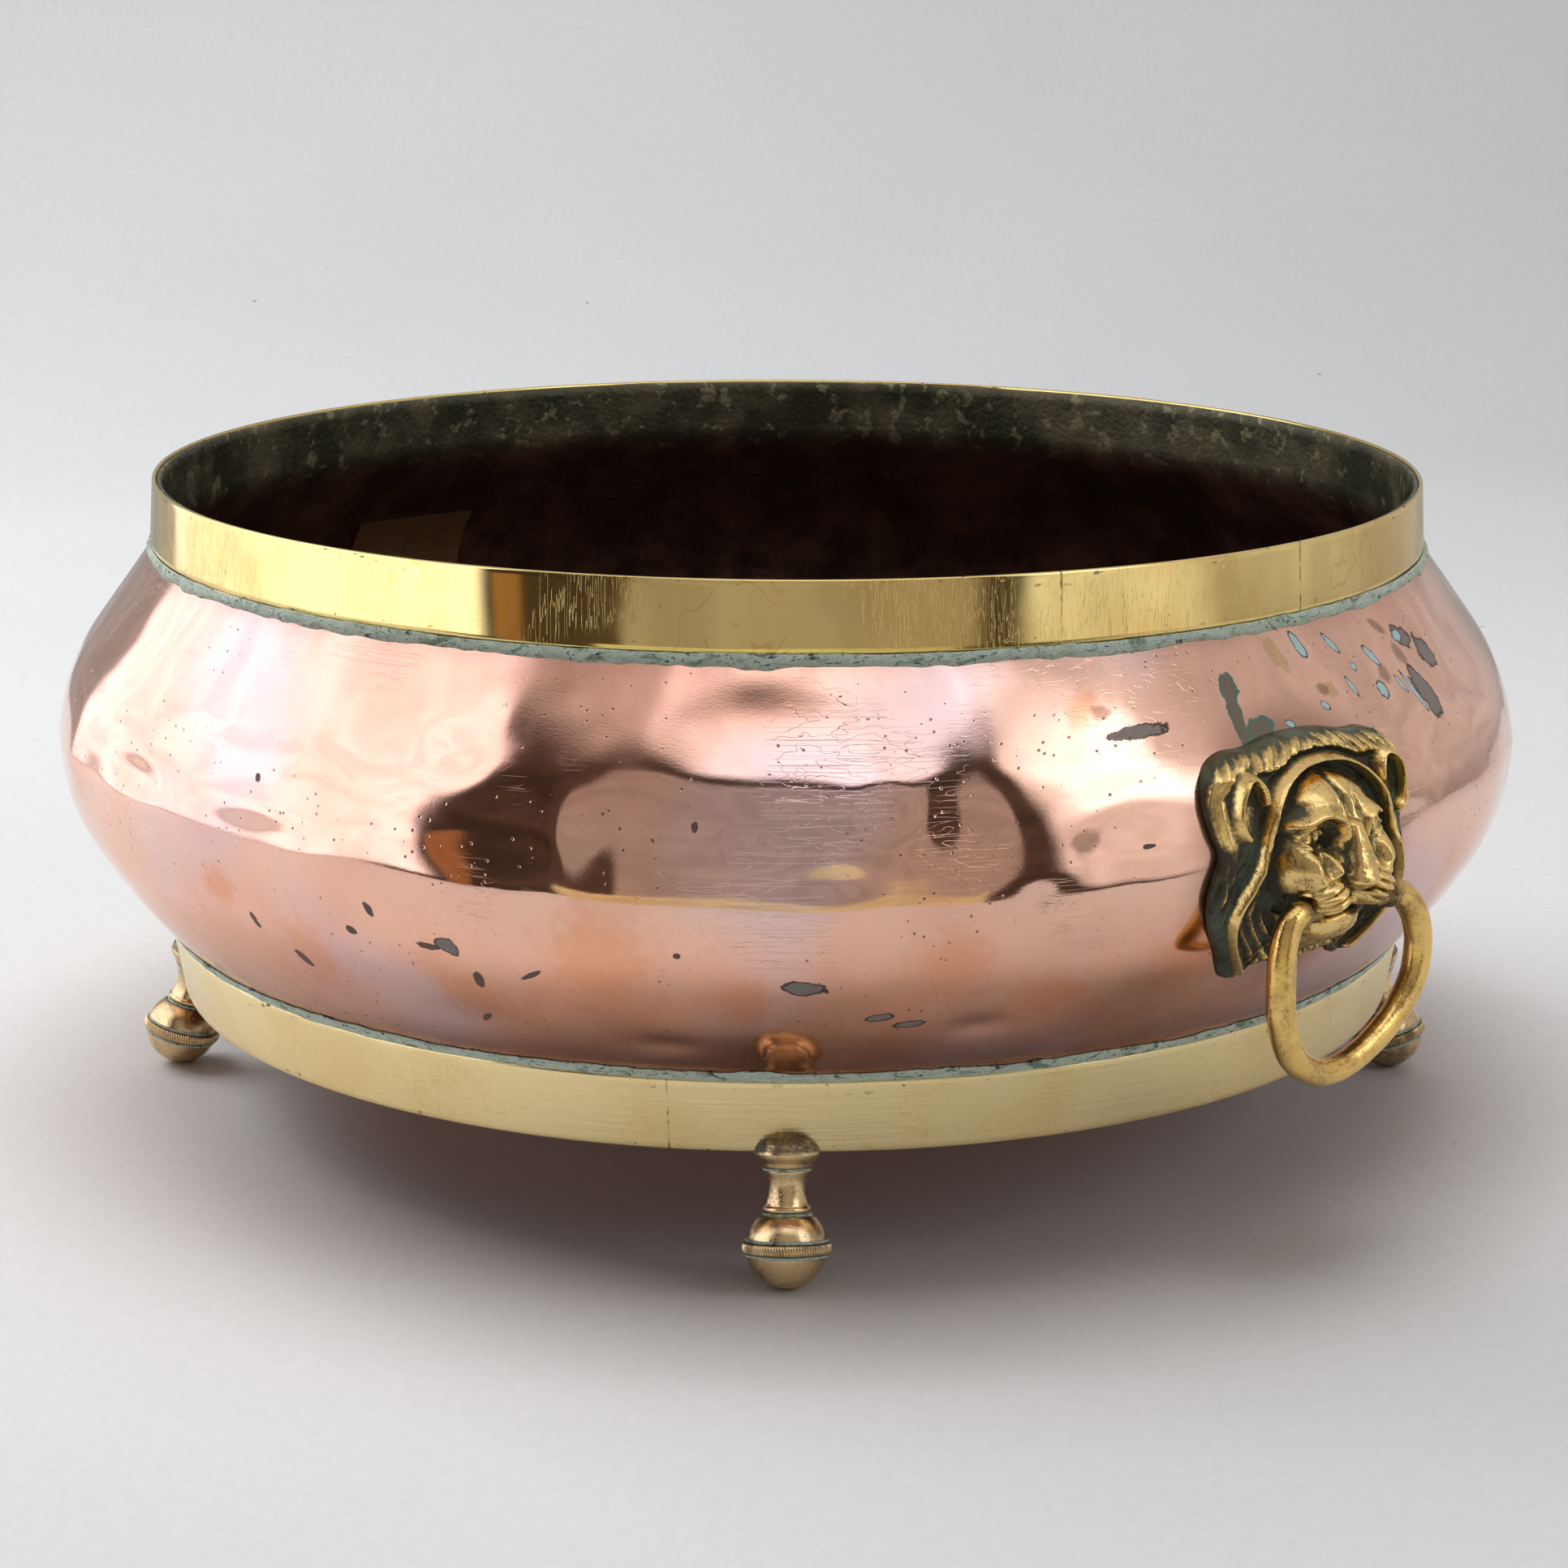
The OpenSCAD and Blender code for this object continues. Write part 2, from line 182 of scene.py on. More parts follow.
def cast_noise(x: Array, y: Array, z: Array, size: float, seed: int = SEED) -> Array:
    """Smooth random lumps: random numbers on a cubic lattice, blended by smooth steps.

    Args:
        x: First coordinate.
        y: Second coordinate.
        z: Third coordinate.
        size: Distance between lattice points.
        seed: Number that picks the lattice's random values.

    Returns:
        Numbers from -1 to 1, of the arguments' shape.
    """
    table = np.random.default_rng(seed).uniform(-1.0, 1.0, 4096)
    total = np.zeros(np.broadcast(x, y, z).shape)
    cells = [np.floor(c / size).astype(np.int64) for c in (x, y, z)]
    parts = [c / size - k for c, k in zip((x, y, z), cells)]
    parts = [t * t * (3 - 2 * t) for t in parts]
    for corner in range(8):
        bits = (corner & 1, corner >> 1 & 1, corner >> 2 & 1)
        key = sum((k + b) * m for k, b, m in zip(cells, bits, (73856093, 19349663, 83492791)))
        weight = np.ones_like(total)
        for t, b in zip(parts, bits):
            weight = weight * (t if b else 1 - t)
        total += weight * table[key % 4096]
    return total


# --------------------------------------------------------------------------------------
# Mesh helpers
# --------------------------------------------------------------------------------------


@dataclass
class SheetGrid:
    """A surface as a grid of points, rows by columns, in millimetres.

    Attributes:
        points: Array of rows x columns x 3.
        wrap_rows: Whether the last row joins the first.
        wrap_columns: Whether the last column joins the first.
        flip: Whether to turn the faces over.
    """

    points: Array
    wrap_rows: bool = False
    wrap_columns: bool = True
    flip: bool = False

    def faces(self) -> Array:
        """Corner numbers of the quads, one quad a row."""
        rows, columns = self.points.shape[:2]
        r = np.arange(rows if self.wrap_rows else rows - 1)[:, None]
        c = np.arange(columns if self.wrap_columns else columns - 1)[None, :]
        r2, c2 = (r + 1) % rows, (c + 1) % columns
        corners = (r * columns + c, r * columns + c2, r2 * columns + c2, r2 * columns + c)
        quad = np.stack(np.broadcast_arrays(*corners), -1)
        quad = quad.reshape(-1, 4)
        return quad[:, ::-1] if self.flip else quad


def mesh_piece(
    name: str,
    points: Array,
    faces: Array,
    caps: Sequence[Sequence[int]] = (),
    smooth: bool = True,
) -> bpy.types.Object:
    """Makes a mesh object from points in millimetres and quads.

    Args:
        name: Name of the piece.
        points: Array of n x 3 points.
        faces: Array of m x 4 corner numbers.
        caps: Polygons that close the ends, as lists of corner numbers.
        smooth: Whether the faces are shaded smooth.

    Returns:
        The new object, linked to the scene, at the origin.
    """
    mesh = bpy.data.meshes.new(name)
    loops = [faces.reshape(-1)] + [np.asarray(c) for c in caps]
    sizes = np.concatenate([np.full(len(faces), 4), [len(c) for c in caps]]).astype(np.int32)
    corners = np.concatenate(loops).astype(np.int32)
    mesh.vertices.add(len(points))
    mesh.vertices.foreach_set("co", (points * MM).astype(np.float32).reshape(-1))
    mesh.loops.add(len(corners))
    mesh.loops.foreach_set("vertex_index", corners)
    mesh.polygons.add(len(sizes))
    mesh.polygons.foreach_set("loop_start", np.concatenate([[0], np.cumsum(sizes)[:-1]]).astype(np.int32))
    mesh.polygons.foreach_set("loop_total", sizes)
    mesh.polygons.foreach_set("use_smooth", np.full(len(sizes), smooth))
    mesh.update(calc_edges=True)
    mesh.validate()
    piece = bpy.data.objects.new(name, mesh)
    bpy.context.scene.collection.objects.link(piece)
    return piece


def grid_piece(name: str, grid: SheetGrid, cap_ends: bool = False) -> bpy.types.Object:
    """Makes a mesh object from one grid, with its first and last rows closed if asked.

    Args:
        name: Name of the piece.
        grid: The surface.
        cap_ends: Whether to close both ends with a polygon.

    Returns:
        The new object.
    """
    rows, columns = grid.points.shape[:2]
    caps: list[Array] = []
    if cap_ends:
        first = np.arange(columns)
        last = (rows - 1) * columns + first
        caps = [first[::-1], last] if not grid.flip else [first, last[::-1]]
    return mesh_piece(name, grid.points.reshape(-1, 3), grid.faces(), caps)


def store_attribute(piece: bpy.types.Object, name: str, values: Array) -> None:
    """Writes one number a vertex, for the piece's finish to read."""
    layer = piece.data.attributes.new(name, "FLOAT", "POINT")
    layer.data.foreach_set("value", values.astype(np.float32).reshape(-1))


def turned(points: Array, angle: float) -> Array:
    """Points turned about Z by an angle in radians."""
    c, s = math.cos(angle), math.sin(angle)
    return points @ np.array([[c, s, 0.0], [-s, c, 0.0], [0.0, 0.0, 1.0]])


def lathe(outline: Array, columns: int) -> Array:
    """Carries an outline of (radius, height) rows round Z.

    Args:
        outline: Array of rows x 2.
        columns: Number of points round.

    Returns:
        Array of rows x columns x 3.
    """
    angle = np.arange(columns) * TAU / columns
    r = outline[:, 0][:, None]
    z = np.broadcast_to(outline[:, 1][:, None], (len(outline), columns))
    return np.stack([r * np.cos(angle), r * np.sin(angle), z], axis=-1)


def tube(path: Array, radius: Array, columns: int) -> Array:
    """Carries a circle along a path, with its frame kept from twisting.

    The frame's first axis is the part of the last one that stays square to the path.

    Args:
        path: Array of rows x 3.
        radius: Radius at each row.
        columns: Number of points round.

    Returns:
        Array of rows x columns x 3.
    """
    along = np.gradient(path, axis=0)
    along /= np.linalg.norm(along, axis=1)[:, None]
    side = np.zeros_like(path)
    last = np.array([1.0, 0.0, 0.0])
    for i, t in enumerate(along):
        last = last - t * (last @ t)
        last /= np.linalg.norm(last)
        side[i] = last
    other = np.cross(along, side)
    angle = np.arange(columns) * TAU / columns
    ring = side[:, None] * np.cos(angle)[None, :, None] + other[:, None] * np.sin(angle)[None, :, None]
    return path[:, None] + ring * radius[:, None, None]


# --------------------------------------------------------------------------------------
# Finishes
# --------------------------------------------------------------------------------------


class Graph:
    """A material's node tree, with short calls for the nodes that the finishes use."""

    def __init__(self, name: str) -> None:
        """Starts an empty material with a surface shader and its output."""
        self.material = bpy.data.materials.new(name)
        self.material.use_nodes = True
        self.tree = self.material.node_tree
        self.tree.nodes.clear()
        self.shader = self.tree.nodes.new("ShaderNodeBsdfPrincipled")
        output = self.tree.nodes.new("ShaderNodeOutputMaterial")
        self.tree.links.new(self.shader.outputs[0], output.inputs[0])
        self.place = self.tree.nodes.new("ShaderNodeTexCoord").outputs["Object"]

    def set(self, socket: Any, value: Any) -> None:
        """Links a socket to a node's result, or sets its plain value."""
        if isinstance(value, bpy.types.NodeSocket):
            self.tree.links.new(value, socket)
        elif isinstance(value, tuple) and len(value) == 3 and socket.type == "RGBA":
            socket.default_value = (*value, 1.0)
        else:
            socket.default_value = value

    def surface(self, **values: Any) -> None:
        """Sets the shader's inputs by their names, with _ for a space."""
        names = {i.name.lower().replace(" ", "_"): i for i in self.shader.inputs}
        for name, value in values.items():
            self.set(names[name], value)

    def maths(self, operation: str, a: Any, b: Any = 0.0, c: Any = 0.0, clamp: bool = False) -> Any:
        """Result of one Math node."""
        node = self.tree.nodes.new("ShaderNodeMath")
        node.operation = operation
        node.use_clamp = clamp
        for socket, value in zip(node.inputs, (a, b, c)):
            self.set(socket, value)
        return node.outputs[0]

    def stretched(self, scale: Colour, vector: Any = None, turn: Colour = (0.0, 0.0, 0.0)) -> Any:
        """Coordinates scaled, and turned, by a Mapping node."""
        node = self.tree.nodes.new("ShaderNodeMapping")
        self.set(node.inputs["Vector"], vector or self.place)
        node.inputs["Scale"].default_value = scale
        node.inputs["Rotation"].default_value = turn
        return node.outputs[0]

    def noise(
        self, scale: float, detail: float = 3.0, rough: float = 0.5, vector: Any = None, bend: float = 0.0
    ) -> Any:
        """Strength of a Noise Texture, whose scale is in lumps a metre."""
        node = self.tree.nodes.new("ShaderNodeTexNoise")
        self.set(node.inputs["Vector"], vector or self.place)
        node.inputs["Scale"].default_value = scale
        node.inputs["Detail"].default_value = detail
        node.inputs["Roughness"].default_value = rough
        node.inputs["Distortion"].default_value = bend
        return node.outputs[0]

    def cells(self, scale: float, vector: Any = None, spread: float = 1.0) -> Any:
        """Distance to the nearest of random points, from a Voronoi Texture."""
        node = self.tree.nodes.new("ShaderNodeTexVoronoi")
        self.set(node.inputs["Vector"], vector or self.place)
        node.inputs["Scale"].default_value = scale
        node.inputs["Randomness"].default_value = spread
        return node.outputs["Distance"]

    def step(self, value: Any, low: float, high: float, bottom: float = 0.0, top: float = 1.0) -> Any:
        """Smooth step of a value from bottom at low to top at high."""
        node = self.tree.nodes.new("ShaderNodeMapRange")
        node.interpolation_type = "SMOOTHSTEP"
        self.set(node.inputs["Value"], value)
        for name, number in (("From Min", low), ("From Max", high), ("To Min", bottom), ("To Max", top)):
            node.inputs[name].default_value = number
        return node.outputs[0]

    def mix(self, share: Any, first: Any, second: Any, blend: str = "MIX") -> Any:
        """Mix of two colours."""
        node = self.tree.nodes.new("ShaderNodeMix")
        node.data_type = "RGBA"
        node.blend_type = blend
        self.set(node.inputs[0], share)
        self.set(node.inputs[6], first)
        self.set(node.inputs[7], second)
        return node.outputs[2]

    def blend(self, share: Any, first: Any, second: Any) -> Any:
        """Mix of two numbers."""
        node = self.tree.nodes.new("ShaderNodeMix")
        node.data_type = "FLOAT"
        self.set(node.inputs[0], share)
        self.set(node.inputs[2], first)
        self.set(node.inputs[3], second)
        return node.outputs[0]

    def axes(self, vector: Any = None) -> tuple[Any, Any, Any]:
        """The three coordinates, one by one."""
        node = self.tree.nodes.new("ShaderNodeSeparateXYZ")
        self.set(node.inputs[0], vector or self.place)
        return tuple(node.outputs)

    def joined(self, x: Any, y: Any, z: Any) -> Any:
        """A vector from three numbers."""
        node = self.tree.nodes.new("ShaderNodeCombineXYZ")
        for socket, value in zip(node.inputs, (x, y, z)):
            self.set(socket, value)
        return node.outputs[0]

    def round_pot(self) -> Any:
        """Coordinates unrolled round the pot: angle times 0.2 m, height, distance from the axis."""
        x, y, z = self.axes()
        angle = self.maths("ARCTAN2", y, x)
        squares = self.maths("ADD", self.maths("MULTIPLY", x, x), self.maths("MULTIPLY", y, y))
        radius = self.maths("SQRT", squares)
        return self.joined(self.maths("MULTIPLY", angle, 0.2), z, radius)

    def near(self, point: Colour, reach: float, vector: Any = None, soft: float = 0.5) -> Any:
        """1 within reach of a point, falling to 0 past it, with its edge soft times reach wide."""
        node = self.tree.nodes.new("ShaderNodeVectorMath")
        node.operation = "DISTANCE"
        self.set(node.inputs[0], vector or self.place)
        node.inputs[1].default_value = point
        return self.step(node.outputs["Value"], reach * (1 + soft), reach * (1 - soft))

    def stored(self, name: str) -> Any:
        """Number stored at the mesh's vertices under a name."""
        node = self.tree.nodes.new("ShaderNodeAttribute")
        node.attribute_name = name
        return node.outputs["Fac"]

    def relief(self, height: Any, distance: float, strength: float = 1.0) -> None:
        """Bumps the surface by a height, in units of distance metres."""
        node = self.tree.nodes.new("ShaderNodeBump")
        node.inputs["Strength"].default_value = strength
        node.inputs["Distance"].default_value = distance
        self.set(node.inputs["Height"], height)
        self.tree.links.new(node.outputs[0], self.shader.inputs["Normal"])


class Stain(Enum):
    """Kinds of mark on the copper, with the colour of each."""

    ORANGE = (0.80, 0.34, 0.17)
    BROWN = (0.17, 0.09, 0.05)
    PIT = (0.07, 0.035, 0.022)
    GREY = (0.36, 0.31, 0.28)
    DRIP = (0.30, 0.17, 0.12)
    YELLOW = (0.62, 0.42, 0.20)
    GREEN = (0.50, 0.68, 0.70)


@dataclass(frozen=True)
class Mark:
    """One mark on the copper.

    Attributes:
        kind: What sort of mark it is.
        angle: Where it is round the pot, in degrees.
        height: Its height, in millimetres.
        wide: Its half width round the pot.
        tall: Its half height.
        tilt: Its turn, in degrees, anticlockwise as seen from outside.
    """

    kind: Stain
    angle: float
    height: float
    wide: float
    tall: float
    tilt: float = 0.0


# Places of each kind of mark, as in Mark: angle, height, half sizes and, where it matters, tilt.
MARK_PLACES: dict[Stain, tuple[tuple[float, ...], ...]] = {
    Stain.ORANGE: (
        (-76.0, 81.5, 8, 10), (-51.8, 92.0, 11, 17), (-62.3, 76.0, 9, 6), (-83.7, 95.6, 6, 5),
        (-41.9, 81.0, 6, 7), (-27.7, 91.0, 9, 9), (-9.6, 88.0, 10, 9), (-17.0, 150.0, 6, 3, 40),
        (-20.0, 80.0, 8, 6), (60.0, 85.0, 12, 12), (120.0, 90.0, 10, 14), (205.0, 84.0, 12, 9),
    ),
    Stain.GREY: (
        (-13.1, 144.0, 8.0, 1.3, 4), (-38.0, 85.9, 4.6, 1.7, -4), (-32.6, 76.2, 3, 1, 8),
        (-30.2, 73.9, 3.4, 0.9, 6), (-63.0, 92.0, 2.8, 1.8, -20), (22.6, 146.9, 3.6, 3.2),
        (18.6, 138.5, 3.4, 6.0, 25), (20.0, 152.0, 4, 2.2, -20), (95.0, 140.0, 8, 2.6),
    ),
    Stain.PIT: (
        (-64.6, 91.0, 3.4, 0.9, -4), (-61.2, 82.4, 1.5, 2.4), (-77.2, 79.5, 1.2, 3, 35),
        (-80.6, 88.0, 1.1, 2.4, 20), (-46.5, 94.6, 0.9, 0.8), (-45.3, 126.7, 0.9, 1.3),
        (-79.4, 126.9, 0.9, 1.1, 30), (-69.0, 99.0, 1.0, 2.2, 30), (-71.0, 92.0, 1.6, 1, -20),
        (-62.0, 70.0, 2.4, 0.8, 40), (-13.9, 117.8, 2.0, 0.7), (-57.0, 86.0, 3.2, 0.6, 30),
    ),
    Stain.BROWN: (
        (-18.7, 121.0, 3.6, 2.6, 20), (-15.7, 149.0, 2.4, 1.6), (14.0, 146.0, 3, 2.2),
        (5.6, 146.5, 2.2, 1.4), (18.0, 149.0, 2.4, 3, 30), (17.0, 156.0, 3.2, 1.4, -30),
    ),
    Stain.DRIP: (
        (-3.9, 150.0, 2.2, 3.4, -30), (-4.2, 144.5, 1.7, 6.5, -4), (-2.4, 140.4, 3.8, 2.6, 0),
    ),
    Stain.YELLOW: (
        (2.4, 156.0, 2.6, 4.6, 22), (6.6, 146.0, 2.4, 2.2),
    ),
    Stain.GREEN: (
        (5.4, 156.6, 1.5, 2.7, 18), (9.3, 155.6, 0.9, 2.4, 32), (13.6, 150.6, 1.2, 2.8, 34),
        (12.6, 142.9, 1.9, 2.0), (10.5, 149.6, 0.9, 0.9), (9.0, 145.6, 0.7, 2.2, 20),
        (17.0, 139.6, 0.8, 4.6, 20), (19.4, 152.6, 2.6, 1.3), (5.0, 143.0, 1.4, 0.8, -30),
        (0.6, 140.6, 1.4, 0.8, -20), (15.6, 143.0, 0.8, 2.4, 30), (186.0, 152.0, 1.8, 2.6, 10),
        (192.0, 147.0, 1.4, 1.8), (176.0, 144.0, 1.2, 2.4, -20), (197.0, 141.0, 1.0, 2.8, 10),
    ),
}
MARKS = tuple(Mark(kind, *place) for kind, places in MARK_PLACES.items() for place in places)


@dataclass(frozen=True)
class CopperFinish:
    """Polished pink copper sheet, stained and scuffed.

    Attributes:
        metal: Colour of the clean metal.
        rosy: Colour of the metal where it is less rubbed.
        ember: Colour of the lower wall.
        tarnish: Colour of the grey-brown film near the edges.
        gloss: Roughness of the clean metal.
    """

    metal: Colour = (0.92, 0.57, 0.44)
    rosy: Colour = (0.83, 0.44, 0.33)
    ember: Colour = (0.83, 0.41, 0.26)
    tarnish: Colour = (0.40, 0.22, 0.17)
    gloss: float = 0.055

    def build(self, masks: Sequence[Colour], belly_z: float) -> bpy.types.Material:
        """Builds the material.

        Args:
            masks: Middles of the two lion masks, in metres.
            belly_z: Height of the belly's widest line, in metres.

        Returns:
            The material.
        """
        g = Graph("polished_copper")
        _, _, z = g.axes()
        cloud = g.noise(14.0, 4.0, 0.55)
        fine_cloud = g.noise(55.0, 5.0, 0.6, bend=0.4)
        mottle = g.noise(230.0, 3.0, 0.6)
        colour = g.mix(g.step(cloud, 0.40, 0.68, 0.0, 0.85), self.metal, self.rosy)
        low = g.step(z, belly_z + 0.004, belly_z - 0.034)
        colour = g.mix(g.maths("MULTIPLY", low, g.step(fine_cloud, 0.3, 0.7, 0.55, 1.0)), colour, self.ember)
        colour = g.mix(g.step(mottle, 0.52, 0.75, 0.0, 0.30), colour, self.rosy)
        violet = g.step(g.noise(11.0, 2.0), 0.54, 0.68, 0.0, 0.55)
        colour = g.mix(violet, colour, (0.74, 0.60, 0.68))
        # grey-brown film: at the seams, and round the masks
        edge_low = g.step(z, belly_z - 0.040, belly_z - 0.055)
        edge_high = g.step(z, belly_z + 0.047, belly_z + 0.056)
        edges = g.maths("MAXIMUM", edge_low, edge_high)
        film = g.maths("MULTIPLY", edges, g.step(fine_cloud, 0.25, 0.75, 0.15, 0.75))
        for at in masks:
            halo = g.near(at, 0.037, soft=0.24)
            film = g.maths("MAXIMUM", film, g.maths("MULTIPLY", halo, g.step(fine_cloud, 0.2, 0.6, 0.6, 1.0)))
        colour = g.mix(film, colour, self.tarnish)
        # seeded specks
        speck = g.step(g.cells(330.0), 0.17, 0.06)
        speck = g.maths("MULTIPLY", speck, g.step(g.noise(30.0), 0.46, 0.58))
        colour = g.mix(g.maths("MULTIPLY", speck, 0.8), colour, Stain.PIT.value)
        # marks, kind by kind, each with a darker or greener edge
        core, edge = self._marks(g)
        cover = {
            Stain.ORANGE: 0.6, Stain.BROWN: 0.6, Stain.YELLOW: 0.7, Stain.GREY: 0.55, Stain.DRIP: 0.6,
        }
        for kind, rim in (
            (Stain.ORANGE, None), (Stain.YELLOW, None), (Stain.BROWN, None), (Stain.GREY, (0.10, 0.07, 0.06)),
            (Stain.DRIP, (0.12, 0.24, 0.20)), (Stain.PIT, None), (Stain.GREEN, (0.07, 0.12, 0.11)),
        ):
            if rim:
                colour = g.mix(edge[kind], colour, rim)
            colour = g.mix(g.maths("MULTIPLY", core[kind], cover.get(kind, 0.9)), colour, kind.value)
        dull = g.maths("MAXIMUM", core[Stain.GREEN], g.maths("MULTIPLY", core[Stain.GREY], 0.8))
        dull = g.maths("MAXIMUM", dull, g.maths("MULTIPLY", core[Stain.PIT], 0.9))
        # fine scratches in two directions
        level = self._scratches(g, (14.0, 14.0, 700.0), 0.0)
        slanted = self._scratches(g, (130.0, 130.0, 420.0), 0.9)
        scratch = g.maths("MAXIMUM", level, slanted)
        rub = g.noise(700.0, 2.0, 0.7, g.stretched((1.0, 1.0, 3.0)))
        rough = g.maths("ADD", self.gloss, g.maths("MULTIPLY", g.step(cloud, 0.35, 0.7), 0.04))
        rough = g.maths("ADD", rough, g.maths("MULTIPLY", g.step(fine_cloud, 0.45, 0.75), 0.05))
        rough = g.maths("ADD", rough, g.maths("MULTIPLY", film, 0.14))
        rough = g.blend(dull, rough, 0.6)
        metallic = g.maths("SUBTRACT", 1.0, g.maths("MULTIPLY", dull, 0.9))
        g.surface(base_color=colour, metallic=metallic, roughness=rough)
        height = g.maths("ADD", g.maths("MULTIPLY", rub, 0.05), g.maths("MULTIPLY", scratch, -0.22))
        height = g.maths("ADD", height, g.maths("MULTIPLY", core[Stain.GREEN], 0.8))
        pitted = g.maths("MAXIMUM", speck, core[Stain.PIT])
        height = g.maths("SUBTRACT", height, g.maths("MULTIPLY", pitted, 0.7))
        g.relief(height, 0.00010)
        return g.material

    @staticmethod
    def _marks(g: Graph) -> tuple[dict[Stain, Any], dict[Stain, Any]]:
        """Shares of the marks' middles and of their edges, kind by kind.

        Each mark is an ellipse on the unrolled wall, in units of its half sizes, with its
        edge pushed in and out by noise.
        """
        around = g.round_pot()
        u, z, _ = g.axes(around)
        ragged = g.maths("MULTIPLY", g.maths("SUBTRACT", g.noise(240.0, 4.0, 0.6), 0.5), 1.7)
        core: dict[Stain, Any] = {}
        edge: dict[Stain, Any] = {}
        for mark in MARKS:
            angle = (mark.angle + 180.0) % 360.0 - 180.0
            off_u = g.maths("SUBTRACT", u, math.radians(angle) * 0.2)
            off_z = g.maths("SUBTRACT", z, mark.height * MM)
            c, s = math.cos(math.radians(mark.tilt)), math.sin(math.radians(mark.tilt))
            wide, tall = mark.wide * MM, mark.tall * MM
            run = g.maths("MULTIPLY_ADD", off_u, c / wide, g.maths("MULTIPLY", off_z, s / wide))
            rise = g.maths("MULTIPLY_ADD", off_z, c / tall, g.maths("MULTIPLY", off_u, -s / tall))
            reach = g.maths("SQRT", g.maths("MULTIPLY_ADD", run, run, g.maths("MULTIPLY", rise, rise)))
            reach = g.maths("ADD", reach, ragged)
            soft = {Stain.ORANGE: 0.6, Stain.BROWN: 0.4}.get(mark.kind, 0.08)
            inner = g.step(reach, 1.0 + soft, 1.0 - soft)
            core[mark.kind] = g.maths("MAXIMUM", core.get(mark.kind, 0.0), inner)
            if mark.kind in (Stain.GREY, Stain.DRIP, Stain.GREEN):
                edge[mark.kind] = g.maths("MAXIMUM", edge.get(mark.kind, 0.0), g.step(reach, 1.34, 1.16))
        return core, edge

    @staticmethod
    def _scratches(g: Graph, scale: Colour, turn: float) -> Any:
        """Thin lines where a stretched noise passes its middle value."""
        scratched = g.noise(1.0, 1.0, 0.4, g.stretched(scale, turn=(turn, 0.4 * turn, 0.0)), 0.3)
        line = g.step(g.maths("ABSOLUTE", g.maths("SUBTRACT", scratched, 0.5)), 0.010, 0.0)
        return g.maths("MULTIPLY", line, g.step(g.noise(20.0, 2.0), 0.52, 0.66))


@dataclass(frozen=True)
class DarkCopperFinish:
    """Inside of the bowl: copper painted near black below the neck as the shade under the collar's overhang,
    with brown blotches, and greener towards the neck.
    """

    # deep is painted shade: the near black of the overhang's shadow inside the bowl
    deep: Colour = (0.042, 0.022, 0.014)
    green: Colour = (0.060, 0.062, 0.034)

    def build(self, neck_z: float) -> bpy.types.Material:
        """Builds the material, with painted shade below the height neck_z in metres and a greener patina
        above it.
        """
        g = Graph("dark_copper")
        _, _, z = g.axes()
        blotch = g.noise(45.0, 5.0, 0.62)
        high = g.step(z, neck_z - 0.006, neck_z + 0.002)
        # painted shade: below the neck the inside is near black, with brown blotches
        colour = g.mix(g.step(blotch, 0.35, 0.7), self.deep, (0.13, 0.060, 0.032))
        green = g.mix(g.step(blotch, 0.4, 0.68), self.green, (0.15, 0.13, 0.075))
        colour = g.mix(high, colour, green)
        pale = g.maths("MULTIPLY", g.step(g.noise(160.0, 3.0, 0.6), 0.57, 0.66), high)
        colour = g.mix(pale, colour, (0.26, 0.24, 0.14))
        g.surface(base_color=colour, metallic=0.55, roughness=g.step(blotch, 0.3, 0.7, 0.34, 0.55))
        g.relief(g.maths("ADD", blotch, g.noise(600.0, 3.0)), 0.0003)
        return g.material


